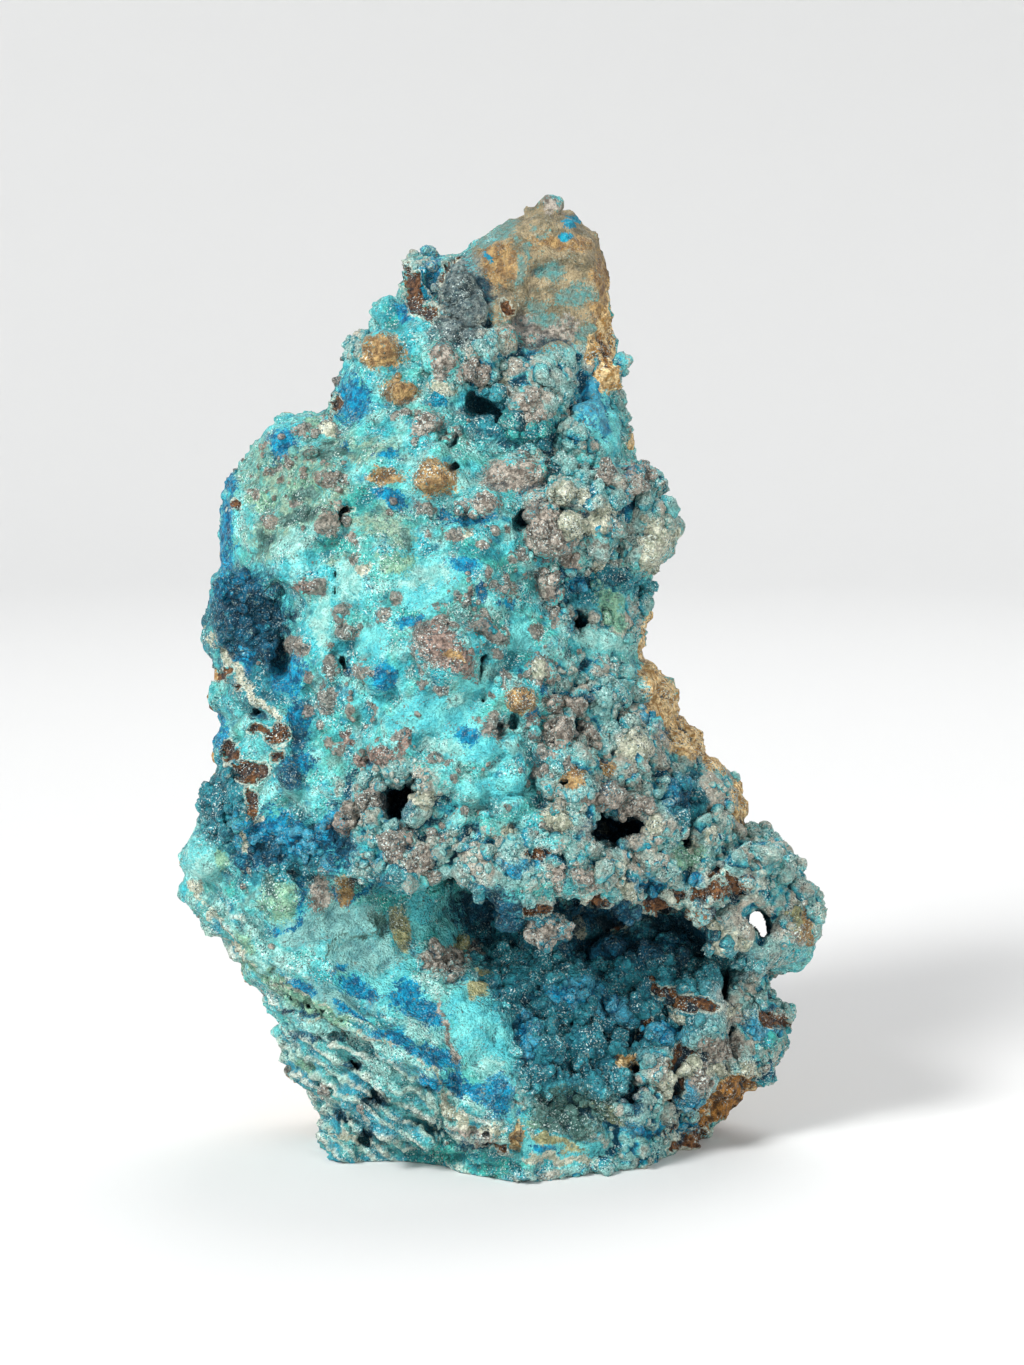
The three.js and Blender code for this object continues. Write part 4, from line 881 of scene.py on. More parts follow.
def bent(x, y, near):
    """The same places, swayed a little, so that no form keeps a regular shape."""
    across, up = x, y
    for n, (length, height) in enumerate(SWAYS):
        k = 2 * math.pi / length
        turn = 1.9 * n
        across = across + height * np.sin(k * (y + 0.4 * x) + turn) * np.cos(k * 0.8 * near - turn)
        up = up + height * np.sin(k * (x - 0.5 * y) - turn) * np.cos(k * 0.9 * near + turn)
    return across, up


def window(xs, ys, centre, reach):
    """Rows and columns of a layer that lie within reach of a centre."""
    i0, i1 = np.searchsorted(xs, (centre[0] - reach[0], centre[0] + reach[0]))
    j0, j1 = np.searchsorted(ys, (centre[1] - reach[1], centre[1] + reach[1]))
    return slice(j0, j1), slice(i0, i1)


def egg(x, y, near, centre, size):
    """Roughly the distance to an egg-shaped surface."""
    across, up, deep = (np.abs(v - c) / s for v, c, s in zip((x, y, near), centre, size))
    return (np.sqrt(across ** 2 + up ** 2 + deep ** 2) - 1) * min(size)


def rod(x, y, near, a, b):
    """Distance to a straight stretch."""
    d = np.subtract(b, a)
    along = ((x - a[0]) * d[0] + (y - a[1]) * d[1] + (near - a[2]) * d[2]) / (d @ d)
    t = np.clip(along, 0, 1)
    return np.sqrt((x - a[0] - t * d[0]) ** 2 + (y - a[1] - t * d[1]) ** 2 + (near - a[2] - t * d[2]) ** 2)


def slit(x, y, near, a, b, half, deep):
    """Roughly the distance to a thin wall that runs in from the face."""
    dx, dy = b[0] - a[0], b[1] - a[1]
    t = np.clip(((x - a[0]) * dx + (y - a[1]) * dy) / (dx * dx + dy * dy), 0, 1)
    aside = np.hypot(x - a[0] - t * dx, y - a[1] - t * dy) - half
    face = a[2] + t * (b[2] - a[2])
    return np.maximum(aside, face - deep - near)


def blend_eggs(layer, eggs, blend, soft):
    """Blends egg-shaped lumps or hollows into a layer's distances."""
    value, x, y, near, xs, ys = layer
    for centre, size in eggs:
        if abs(near - centre[2]) < size[2] + REACH:
            part = window(xs, ys, centre, (size[0] + REACH, size[1] + REACH))
            value[part] = blend(value[part], egg(x[part], y[part], near, centre, size), soft)


def stretches(routes):
    """The straight stretches of bent routes: the route's sizes, both ends, and their least and most depth."""
    for *sizes, route in routes:
        for a, b in zip(route, route[1:]):
            yield sizes, a, b, min(a[2], b[2]), max(a[2], b[2])


def window_along(xs, ys, a, b, half):
    """Rows and columns of a layer that lie within reach of a straight stretch."""
    return window(xs, ys, np.add(a, b) / 2, np.abs(np.subtract(a, b)) / 2 + half + REACH)


def add_ridges(layer, ridges):
    """Blends round ridges into a layer's distances."""
    value, x, y, near, xs, ys = layer
    for (r,), a, b, lowest, highest in stretches(ridges):
        if lowest - r - REACH < near < highest + r + REACH:
            part = window_along(xs, ys, a, b, r)
            value[part] = join(value[part], rod(x[part], y[part], near, a, b) - r, RIDGE_SOFTNESS)


def cut_slits(layer, slits):
    """Cuts thin slits into a layer's distances."""
    value, x, y, near, xs, ys = layer
    for (half, deep), a, b, lowest, _ in stretches(slits):
        if near > lowest - deep - REACH:
            part = window_along(xs, ys, a, b, half)
            value[part] = np.maximum(value[part], -slit(x[part], y[part], near, a, b, half, deep))


def layer_values(table, forms, xs, ys, near):
    """The rock's distance on one layer of the grid, negative inside."""
    flat_x, flat_y = np.meshgrid(xs, ys)
    x, y = bent(flat_x, flat_y, near)
    inside = table.read("inside", x, y)
    rim = table.read("rim", x, y)
    shell = np.maximum(table.read("back", x, y) - near, side_lumps(x, y, near, rim) - inside)
    face = table.read("upper", x, y)
    lip = table.read("lip", x, y)
    roof = lip + np.minimum(ROOF_RISE * (face - near), ROOF_MOST) - y
    upper = cut(np.maximum(near - face, shell), roof, JOIN_SOFTNESS)
    bowl = np.maximum(np.maximum(near - table.read("lower", x, y), shell), y - lip - LIP_CLEAR)
    value = join(upper, bowl, JOIN_SOFTNESS)
    lumps, ridges, hollows, slits = forms
    layer = (value, x, y, near, xs, ys)
    blend_eggs(layer, lumps, join, LUMP_SOFTNESS)
    add_ridges(layer, ridges)
    blend_eggs(layer, hollows, carve, HOLLOW_SOFTNESS)
    cut_slits(layer, slits)
    value = np.where(inside < -WELL_OUTSIDE, -inside, value)
    return np.maximum(value, -to_world(flat_x, flat_y, near)[2])


class Field:
    """The rock's distance over the whole grid, negative inside."""

    def __init__(self, table, forms):
        self.near, self.spread, self.xs, self.ys, self.middle = grid_lines(table)
        self.values = np.empty((len(self.near), len(self.ys), len(self.xs)), np.float32)
        for k, (depth, wide) in enumerate(zip(self.near, self.spread)):
            xs, ys = self.middle[0] + self.xs * wide, self.middle[1] + self.ys * wide
            self.values[k] = layer_values(table, forms, xs, ys, depth)
        self.values[self.values == 0] = 1e-6

    def place(self, k, j, i):
        """Where grid points lie in the picture space."""
        wide = self.spread[k]
        x, y = self.middle[0] + self.xs[i] * wide, self.middle[1] + self.ys[j] * wide
        return np.stack((x, y, self.near[k]), axis=-1)

    def filled(self, points):
        """Whether the grid points nearest to places of the picture space are inside the rock."""
        layers = np.arange(len(self.near), dtype=float)
        k = np.rint(np.interp(-points[:, 2], -self.near, layers)).astype(int)
        cell = self.spread[k] * CELL
        i = np.rint((points[:, 0] - self.middle[0]) / cell + (len(self.xs) - 1) / 2).astype(int)
        j = np.rint((points[:, 1] - self.middle[1]) / cell + (len(self.ys) - 1) / 2).astype(int)
        return self.values[k, np.clip(j, 0, len(self.ys) - 1), np.clip(i, 0, len(self.xs) - 1)] < 0


def connected(mask):
    """Whether the chosen corners of a cell hang together along its edges."""
    seen = mask & -mask
    before = 0
    while seen != before:
        before = seen
        for a, b in EDGES:
            both = (1 << a) | (1 << b)
            if mask & both == both and seen & both:
                seen |= both
    return seen == mask


UNCLEAR = np.array([not connected(mask) or not connected(255 - mask) for mask in range(256)])


def cell_masks(values):
    """Which corners of each cell are inside, as bits."""
    inside = (values < 0).astype(np.uint8)
    nk, nj, ni = (n - 1 for n in values.shape)
    masks = np.zeros((nk, nj, ni), np.uint8)
    for n, (a, b, c) in enumerate(CORNERS):
        masks |= inside[c:c + nk, b:b + nj, a:a + ni] << n
    return masks


def settle(values):
    """Fills corners until every cell holds one plain sheet of surface, so that the mesh closes."""
    for _ in range(SETTLE_ROUNDS):
        k, j, i = np.nonzero(UNCLEAR[cell_masks(values)])
        if not len(k):
            return
        around = np.stack([values[k + c, j + b, i + a] for a, b, c in CORNERS])
        pick = np.where(around >= 0, around, np.inf).argmin(0)
        offset = np.array(CORNERS)[pick]
        values[k + offset[:, 2], j + offset[:, 1], i + offset[:, 0]] = FILLED


def surface_points(values, masks, place):
    """The middle of the crossings in each cell that the surface passes, and the cells' numbers."""
    k, j, i = np.nonzero((masks != 0) & (masks != 255))
    total = np.zeros((len(k), 3))
    count = np.zeros(len(k))
    for a, b in EDGES:
        (ia, ja, ka), (ib, jb, kb) = CORNERS[a], CORNERS[b]
        va = values[k + ka, j + ja, i + ia].astype(float)
        vb = values[k + kb, j + jb, i + ib].astype(float)
        hit = (va < 0) != (vb < 0)
        t = np.where(hit, va / np.where(hit, va - vb, 1), 0)[:, None]
        pa = place(k + ka, j + ja, i + ia)
        pb = place(k + kb, j + jb, i + ib)
        total += np.where(hit[:, None], pa + (pb - pa) * t, 0)
        count += hit
    vertex = np.full(masks.shape, -1, np.int64)
    vertex[k, j, i] = np.arange(len(k))
    return total / count[:, None], vertex


# For each direction of a grid line: its step, and the four cells round it
LINES = [
    ((0, 0, 1), [(-1, -1, 0), (-1, 0, 0), (0, 0, 0), (0, -1, 0)]),
    ((0, 1, 0), [(-1, 0, -1), (0, 0, -1), (0, 0, 0), (-1, 0, 0)]),
    ((1, 0, 0), [(0, -1, -1), (0, -1, 0), (0, 0, 0), (0, 0, -1)]),
]


def surface(values, place):
    """One vertex in each cell that the surface crosses, one quad over each crossed edge."""
    masks = cell_masks(values)
    points, vertex = surface_points(values, masks, place)
    inside = values < 0
    quads = []
    for (dk, dj, di), around in LINES:
        nk, nj, ni = values.shape[0] - dk, values.shape[1] - dj, values.shape[2] - di
        here = inside[:nk, :nj, :ni]
        there = inside[dk:dk + nk, dj:dj + nj, di:di + ni]
        k, j, i = np.nonzero(here != there)
        quad = np.stack([vertex[k + c, j + b, i + a] for c, b, a in around], axis=1)
        flip = here[k, j, i]
        quad[flip] = quad[flip][:, ::-1]
        quads.append(quad)
    return points, np.concatenate(quads)


def largest_piece(points, quads):
    """Drops loose islands and sealed hollows."""
    label = np.arange(len(points))
    while True:
        lowest = label[quads].min(1)
        new = label.copy()
        for column in quads.T:
            np.minimum.at(new, column, lowest)
        new = new[new]
        if (new == label).all():
            break
        label = new
    ids, counts = np.unique(label, return_counts=True)
    keep = label == ids[counts.argmax()]
    renumber = np.cumsum(keep) - 1
    return points[keep], renumber[quads[keep[quads[:, 0]]]]


def vertex_normals(points, quads):
    """Outward directions at the vertices, by the area of the faces round each."""
    a, b, c, d = (points[column] for column in quads.T)
    faces = np.cross(c - a, d - b)
    corners = quads.T.ravel()
    total = np.stack([np.bincount(corners, np.tile(faces[:, n], 4), len(points)) for n in range(3)], axis=1)
    return total / np.maximum(np.linalg.norm(total, axis=1, keepdims=True), 1e-12)


def relief(points, quads, normals, rounds):
    """How far each vertex stands out from its surroundings, smoothed by so many rounds."""
    starts = quads.T.ravel()
    ends = np.roll(quads, -1, axis=1).T.ravel()
    count = np.bincount(starts, minlength=len(points))
    smooth = points.copy()
    for _ in range(rounds):
        sums = [np.bincount(starts, smooth[ends, n], len(points)) for n in range(3)]
        smooth = np.stack(sums, axis=1) / count[:, None]
    return ((points - smooth) * normals).sum(1)


def shelter(field, points, normals):
    """Share of the sky over each point that other parts of the rock close."""
    closed = np.zeros(len(points))
    total = np.zeros(len(points))
    for n in range(SKY_RAYS):
        height = 1 - (2 * n + 1) / SKY_RAYS
        turn = n * GOLDEN_ANGLE
        flat = math.sqrt(1 - height * height)
        ray = np.array((flat * math.cos(turn), flat * math.sin(turn), height))
        facing = normals @ ray
        above = np.nonzero(facing > 0.05)[0]
        hit = np.zeros(len(above), bool)
        for reach in SKY_REACHES:
            hit |= field.filled(points[above] + normals[above] * SKY_START + ray * reach)
        closed[above] += facing[above] * hit
        total[above] += facing[above]
    return closed / np.maximum(total, 1e-6)


def marks_at(table, points):
    """How strongly each listed patch holds at each point, and how far behind the rim the point lies."""
    x, y, near = points.T
    behind = np.clip((table.read("rim", x, y) + BEHIND_START - near) / BEHIND_DEPTH, 0, 1)
    sway = SWAY_FRONT + SWAY_BEHIND * behind
    across = x + sway * rough(points, SWAY_SIZE, 41) + FINE_SWAY * grain(points, FINE_SWAY_SIZE, 45)
    up = y + sway * rough(points, SWAY_SIZE, 51) + FINE_SWAY * grain(points, FINE_SWAY_SIZE, 55)
    marks = {name: table.read(name, across, up) for name in (*PATCHES, "bud")}
    bedding = table.read("bedding", x, y)
    for height, size, seed in BEDDING_SWAYS:
        bedding = bedding + height * rough(points, size, seed)
    marks["leaf"] = 1 - np.abs(np.sin(np.pi * bedding / BED_THICKNESS)) ** LEAF_SHARPNESS
    marks["behind"] = behind
    marks["tone"] = np.clip(0.5 + TONE_SPREAD * rough(points, TONE_SIZE, 141), 0, 1)
    return marks


def roughen(points, normals, marks):
    """Moves the surface in and out by the fine relief of each kind of ground."""
    front = 1 - marks["behind"]
    druse = step(marks["druse"], 0.35, 0.6) * front
    strata = step(marks["strata"], 0.3, 0.6) * front
    smooth = np.maximum(step(marks["smooth"], 0.35, 0.6), step(marks["slab"], 0.35, 0.6)) * front
    bud = step(marks["bud"], 0.4, 0.6) * front
    broken = np.maximum(step(marks["ochre"], 0.4, 0.6), marks["behind"])
    rust = marks["rust"]
    out = (GRAIN[0] - SMOOTHER_BY * smooth) * rough(points, GRAIN[1], 11, 4)
    out += bud * BUD_GRAIN[0] * rough(points, BUD_GRAIN[1], 111)
    bumps = CLUSTERS[0] * grapes(points, CLUSTERS[1], 21) + BERRIES[0] * grapes(points, BERRIES[1], 31)
    out += druse * (1 - smooth) * (bumps - DRUSE_SINK)
    leaves = LEAF_HEIGHT * marks["leaf"] + LEAF_GRAIN[0] * rough(points, LEAF_GRAIN[1], 71)
    out += strata * (leaves - LEAF_SINK)
    steps = BROKEN_STEPS[0] * rough(points * BROKEN_STRETCH, BROKEN_STEPS[1], 81)
    out += broken * (steps + BROKEN_GRAIN[0] * rough(points, BROKEN_GRAIN[1], 91, 2))
    out += front * (RUST_RIM * step(rust, 0.2, 0.42) - RUST_DEPTH * step(rust, 0.46, 0.6))
    out *= step(to_world(*points.T)[2], 0, FOOT_FADE)
    return points + normals * out[:, None]


def world_points(points):
    """Points of the picture space in the frame's axes and metres, none of them under the foot."""
    world = np.stack(to_world(*points.T), axis=1)
    world[:, 2] = np.maximum(world[:, 2], 0)
    return world * MM


def add_object(name, data):
    """An object of the scene that shows the given data."""
    thing = bpy.data.objects.new(name, data)
    bpy.context.collection.objects.link(thing)
    return thing


def mesh_object(name, world, faces, marks, normals=None):
    """A mesh object of equal-sided faces, with its marks at the vertices, smooth where normals are given."""
    mesh = bpy.data.meshes.new(name)
    sides = faces.shape[1]
    mesh.vertices.add(len(world))
    mesh.vertices.foreach_set("co", world.astype(np.float32).ravel())
    mesh.loops.add(faces.size)
    mesh.loops.foreach_set("vertex_index", faces.astype(np.int32).ravel())
    mesh.polygons.add(len(faces))
    mesh.polygons.foreach_set("loop_start", np.arange(0, faces.size, sides, dtype=np.int32))
    mesh.update(calc_edges=True)
    for mark, values in marks.items():
        mesh.attributes.new(mark, "FLOAT", "POINT").data.foreach_set("value", values.astype(np.float32))
    if normals is not None:
        mesh.polygons.foreach_set("use_smooth", np.ones(len(faces), bool))
        mesh.normals_split_custom_set_from_vertices(normals)
    print(name, "triangles", len(faces) * (sides - 2))
    return add_object(name, mesh)


def skin_pieces(points, quads, marks):
    """The closed skin in bands of equal size from the foot up, whose edges meet point for point."""
    world = world_points(points)
    normals = vertex_normals(world, quads)
    height = world[quads, 2].mean(1)
    edges = np.quantile(height, np.linspace(0, 1, len(SKIN_BANDS) + 1))
    band = np.clip(np.searchsorted(edges, height, side="right") - 1, 0, len(SKIN_BANDS) - 1)
    pieces = []
    for n, name in enumerate(SKIN_BANDS):
        used, corners = np.unique(quads[band == n], return_inverse=True)
        here = {mark: values[used] for mark, values in marks.items()}
        pieces.append(mesh_object(name, world[used], corners.reshape(-1, 4), here, normals[used]))
    return pieces


def make_rock(table):
    """The whole specimen's skin, with its fine relief and its marks."""
    field = Field(table, make_forms(table))
    settle(field.values)
    points, quads = largest_piece(*surface(field.values, field.place))
    marks = marks_at(table, points)
    points = roughen(points, vertex_normals(points, quads), marks)
    normals = vertex_normals(points, quads)
    fine = relief(points, quads, normals, CREST_ROUNDS) / CREST_HEIGHT
    broad = relief(points, quads, normals, LUMP_ROUNDS) / LUMP_HEIGHT
    marks["crest"] = np.clip(0.5 + fine + broad, 0, 1)
    # The shelter drives the painted shade in the hollows.
    marks["shelter"] = shelter(field, points, normals)
    return skin_pieces(points, quads, marks), Ground(points, quads, normals, marks)


class Ground:
    """A skin that small things can be scattered on."""

    def __init__(self, points, faces, normals, marks):
        self.points = points
        self.normals = normals
        self.marks = marks
        halves = [faces[:, [0, 1, 2]], faces[:, [0, 2, 3]]] if faces.shape[1] == 4 else [faces]
        self.triangles = np.concatenate(halves)

    def scatter(self, rng, count, weight):
        """Random places on the skin, as often as the weight says: points, normals and nearest vertices."""
        a, b, c = (self.points[column] for column in self.triangles.T)
        area = np.linalg.norm(np.cross(b - a, c - a), axis=1) * weight[self.triangles].mean(1)
        chosen = rng.choice(len(area), count, p=area / area.sum())
        u, v = rng.random((2, count))
        u, v = np.where(u + v > 1, 1 - u, u), np.where(u + v > 1, 1 - v, v)
        points = a[chosen] + (b - a)[chosen] * u[:, None] + (c - a)[chosen] * v[:, None]
        nearest = self.triangles[chosen, 0]
        return points, self.normals[nearest], nearest


def spaced(points, radii, overlap):
    """The places that keep clear of those before them."""
    kept = []
    boxes = {}
    size = 2 * radii.max()
    for n, (point, r) in enumerate(zip(points, radii)):
        i, j, k = np.floor(point / size).astype(int)
        cells = [(i + a - 1, j + b - 1, k + c - 1) for a, b, c in np.ndindex(3, 3, 3)]
        around = [m for cell in cells for m in boxes.get(cell, ())]
        if all(math.dist(point, points[m]) > overlap * (r + radii[m]) for m in around):
            boxes.setdefault((i, j, k), []).append(n)
            kept.append(n)
    return np.array(kept)


def ball(subdivisions):
    """A round ball of triangles with a radius of 1."""
    shape = bmesh.new()
    bmesh.ops.create_icosphere(shape, subdivisions=subdivisions, radius=1)
    points = np.array([v.co[:] for v in shape.verts])
    faces = np.array([[v.index for v in f.verts] for f in shape.faces])
    shape.free()
    return points, faces


def nodule_places(ground, rng):
    """Where nodules grow, how large, and which of them stand alone on smooth crust."""
    marks = ground.marks
    stones = np.maximum.reduce([marks[name] for name in ("rust", "ochre", "clear", "slab", "tan")])
    crusts = [step(marks["smooth"], 0.4, 0.5), step(marks["aqua"], 0.3, 0.5)]
    bare = np.maximum.reduce([step(stones, 0.15, 0.35), *crusts])
    open_air = 1 - step(marks["shelter"], 0.5, 0.75)
    druse = step(marks["druse"], 0.4, 0.6)
    weight = 0.015 + druse + 0.3 * step(marks["peas"], 0.3, 0.6)
    weight = weight * (1 - marks["behind"]) * (1 - bare) * open_air
    places, normals, nearest = ground.scatter(rng, NODULE_TRIES, weight)
    spread = rng.random(len(places)) ** 2
    alone = druse[nearest] < 0.3
    chunky = step(marks["chunky"], 0.4, 0.6)[nearest]
    smallest, largest = NODULE_SIZES
    radii = (smallest + (largest - smallest) * spread) * (1 + CHUNKY_GROWTH * chunky)
    radii[alone] *= PEA_SIZE
    kept = spaced(places, radii, NODULE_SPACING)
    large = kept[radii[kept] > NODULE_SPLIT][:NODULE_LARGE]
    small = kept[radii[kept] <= NODULE_SPLIT][:NODULE_SMALL]
    return places, normals, nearest, radii, alone, large, small


def nodule_points(chosen, subdivisions, places, radii):
    """A ball at each chosen place: points, faces, directions outward and the place that each point is of."""
    shape, faces = ball(subdivisions)
    points = (places[chosen][:, None] + shape * radii[chosen][:, None, None]).reshape(-1, 3)
    faces = (faces + np.arange(len(chosen))[:, None, None] * len(shape)).reshape(-1, 3)
    return points, faces, np.tile(shape, (len(chosen), 1)), np.repeat(chosen, len(shape))


def make_nodules(ground):
    """Uneven grape-like balls that grow all over the druse, the larger ones with more faces."""
    rng = np.random.default_rng(11)
    places, normals, nearest, radii, alone, large, small = nodule_places(ground, rng)
    stretch = rng.normal(size=(len(radii), 3))
    stretch /= np.linalg.norm(stretch, axis=1, keepdims=True)
    longer = rng.random(len(radii)) * NODULE_LONGER - NODULE_SHORTER
    own_tone = rng.random(len(radii))
    brown = alone & (rng.random(len(radii)) < PEAS_BROWN)
    pieces, grounds = [], []
    for name, subdivisions, chosen in (("nodules", 3, large), ("small_nodules", 2, small)):
        points, faces, outward, each = nodule_points(chosen, subdivisions, places, radii)
        along = (outward * stretch[each]).sum(1)
        points = points + stretch[each] * (along * radii[each] * longer[each])[:, None]
        uneven = NODULE_GRAIN[0] * rough(points, NODULE_GRAIN[1], 101)
        points = points + outward * (radii[each] * uneven)[:, None]
        rise = (outward * normals[each]).sum(1)
        marks = {mark: values[nearest[each]] for mark, values in ground.marks.items()}
        marks["crest"] = np.clip(0.42 + 0.42 * rise + 0.12 * rough(points, 0.9, 121), 0, 1)
        marks["tone"] = np.clip(0.3 * marks["tone"] + 0.7 * own_tone[each], 0, 1)
        marks["bud"] = np.where(brown[each], 0.35 + 0.6 * rise, marks["bud"])
        piece = mesh_object(name, world_points(points), faces, marks)
        piece.data.polygons.foreach_set("use_smooth", np.ones(len(faces), bool))
        pieces.append(piece)
        grounds.append(Ground(points, faces, outward, marks))
    return pieces, joined(grounds)


def joined(grounds):
    """Several grounds as one."""
    starts = np.cumsum([0] + [len(ground.points) for ground in grounds])
    points = np.concatenate([ground.points for ground in grounds])
    faces = np.concatenate([ground.triangles + start for ground, start in zip(grounds, starts)])
    normals = np.concatenate([ground.normals for ground in grounds])
    marks = {mark: np.concatenate([ground.marks[mark] for ground in grounds]) for mark in grounds[0].marks}
    return Ground(points, faces, normals, marks)


def make_crystals(name, ground, count, seed):
    """Short three-sided points of druse, their feet sunk in the skin, each with its own brightness, which the
    finish turns into a dark tone or a painted glint.
    """
    rng = np.random.default_rng(seed)
    places, normals, nearest = ground.scatter(rng, count, crystal_weight(ground))
    lean = normals + CRYSTAL_LEAN * rng.normal(size=places.shape)
    lean /= np.linalg.norm(lean, axis=1, keepdims=True)
    aside = np.cross(lean, rng.normal(size=places.shape))
    aside /= np.linalg.norm(aside, axis=1, keepdims=True)
    other = np.cross(lean, aside)
    smallest, largest = CRYSTAL_SIZES
    size = (smallest + (largest - smallest) * rng.random(count) ** 2)[:, None]
    tip = places + lean * (CRYSTAL_TIP * size)
    foot = places - lean * (CRYSTAL_ROOT * size)
    turns = [math.radians(angle) for angle in (0, 120, 240)]
    feet = [foot + (aside * math.cos(t) + other * math.sin(t)) * (CRYSTAL_WAIST * size) for t in turns]
    points = np.stack([tip, *feet], axis=1).reshape(-1, 3)
    faces = np.array([(0, 1, 2), (0, 2, 3), (0, 3, 1), (1, 3, 2)])
    faces = (faces[None] + (np.arange(count) * 4)[:, None, None]).reshape(-1, 3)
    marks = {mark: np.repeat(values[nearest], 4) for mark, values in ground.marks.items()}
    marks["spark"] = np.repeat(rng.random(count), 4)
    return mesh_object(name, world_points(points), faces, marks)


def crystal_weight(ground):
    """Where the druse sparkles most."""
    marks = ground.marks
    names = ("pale", "aqua", "powder", "rust", "ochre", "tan", "smooth", "slab", "haze")
    bare = np.maximum.reduce([step(marks[name], 0.3, 0.5) for name in names])
    blue = step(np.maximum(marks["deep"], marks["azure"]), 0.2, 0.5)
    thick = (0.04 + 0.96 * step(marks["druse"], 0.35, 0.6)) * (1 - 0.9 * blue)
    return thick * (1 - 0.97 * bare) * (1 - 0.98 * marks["behind"])


def linear(code):
    """A colour code as Blender's colour."""
    values = [int(code[n:n + 2], 16) / 255 for n in (1, 3, 5)]
    return (*[v / 12.92 if v <= 0.04045 else ((v + 0.055) / 1.055) ** 2.4 for v in values], 1)


class Nodes:
    """A material's nodes, built by short calls that give back the socket of their result."""

    def __init__(self, name):
        self.material = bpy.data.materials.new(name)
        self.material.use_nodes = True
        self.tree = self.material.node_tree
        self.shader = self.tree.nodes["Principled BSDF"]
        scaled = self.add("ShaderNodeVectorMath", operation="SCALE")
        self.feed(scaled.inputs[0], self.add("ShaderNodeTexCoord").outputs["Object"])
        scaled.inputs["Scale"].default_value = 1 / MM
        self.place = scaled.outputs[0]

    def add(self, kind, **settings):
        node = self.tree.nodes.new(kind)
        for name, value in settings.items():
            setattr(node, name, value)
        return node

    def feed(self, socket, value):
        if isinstance(value, bpy.types.NodeSocket):
            self.tree.links.new(value, socket)
        else:
            socket.default_value = value

    def mark(self, name):
        """A mark of the mesh."""
        return self.add("ShaderNodeAttribute", attribute_name=name).outputs["Fac"]

    def noise(self, size, detail=3.0, seed=0.0, twist=0.0):
        """Noise about 0.5 with lumps of the given size in mm."""
        moved = self.add("ShaderNodeVectorMath", operation="ADD")
        self.feed(moved.inputs[0], self.place)
        moved.inputs[1].default_value = (7.3 * seed, 3.1 * seed, 5.7 * seed)
        node = self.add("ShaderNodeTexNoise")
        self.feed(node.inputs["Vector"], moved.outputs[0])
        node.inputs["Scale"].default_value = 1 / size
        node.inputs["Detail"].default_value = detail
        node.inputs["Distortion"].default_value = twist
        return node.outputs["Fac"]

    def math(self, operation, a, b=0.0):
        node = self.add("ShaderNodeMath", operation=operation)
        self.feed(node.inputs[0], a)
        self.feed(node.inputs[1], b)
        return node.outputs[0]

    def centred(self, noise, height):
        """Noise about 0.5 turned into noise about 0 of the given height."""
        node = self.add("ShaderNodeMath", operation="MULTIPLY_ADD")
        self.feed(node.inputs[0], noise)
        node.inputs[1].default_value = height
        node.inputs[2].default_value = -height / 2
        return node.outputs[0]

    def ramp(self, value, low, high, start=0.0, end=1.0):
        """A smooth step from start to end as the value goes from low to high."""
        node = self.add("ShaderNodeMapRange", interpolation_type="SMOOTHSTEP")
        names = ("Value", "From Min", "From Max", "To Min", "To Max")
        for name, given in zip(names, (value, low, high, start, end)):
            self.feed(node.inputs[name], given)
        return node.outputs[0]

    def mix(self, share, a, b, blend="MIX"):
        """Colour a turning into colour b."""
        node = self.add("ShaderNodeMix", data_type="RGBA", blend_type=blend)
        self.feed(node.inputs[0], share)
        self.feed(node.inputs[6], linear(a) if isinstance(a, str) else a)
        self.feed(node.inputs[7], linear(b) if isinstance(b, str) else b)
        return node.outputs[2]

    def mottle(self, size, detail, seed, a, b, half=0.12):
        """Two colours in lumps of the given size in mm, which blend over twice half of the noise's span."""
        return self.mix(self.ramp(self.noise(size, detail, seed), 0.5 - half, 0.5 + half), a, b)

    def drifts(self, colour, layers):
        """Drifts over a colour: size in mm, detail, seed, noise at the edge and inside, share and tint."""
        for size, detail, seed, edge, inside, share, tint in layers:
            noise = self.noise(size, detail, seed)
            colour = self.mix(self.ramp(noise, edge, inside, 0.0, share), colour, tint)
        return colour

    def bump(self, height, distance):
        """Relief too fine for the mesh, its height in mm."""
        node = self.add("ShaderNodeBump")
        node.inputs["Distance"].default_value = distance * MM
        self.feed(node.inputs["Height"], height)
        return node.outputs["Normal"]


# Patches in the order they lie over each other, the stones over the grounds: mark, lighter and darker colour,
# size of the mottling in mm, softness of the edge, and how far the edge wanders
GROUNDS = [
    ("haze", "#98b69c", "#62a497", 1.4, 0.4, 1.3),
    # Dim: darker teal, partly painted shade under the ledge and in caves.
    ("dim", "#2d8a97", "#0e5768", 1.6, 0.35, 1.2),
    ("teal", "#46b8ac", "#23858f", 2.5, 0.25, 1.0),
    ("aqua", "#7addda", "#54c2ca", 2.4, 0.16, 0.8),
    ("pale", "#a8dfd5", "#7cc6c0", 1.4, 0.26, 1.1),
    ("powder", "#8ac3bd", "#6aa8a8", 2.2, 0.25, 0.9),
    ("mint", "#94c3a2", "#659f89", 1.2, 0.22, 0.9),
    ("azure", "#0398c0", "#015a80", 1.1, 0.12, 1.5),
    # Deep: partly the mineral's own deep blue, partly painted shade in caves, holes and pits.
    ("deep", "#075a76", "#023247", 1.4, 0.3, 1.2),
]
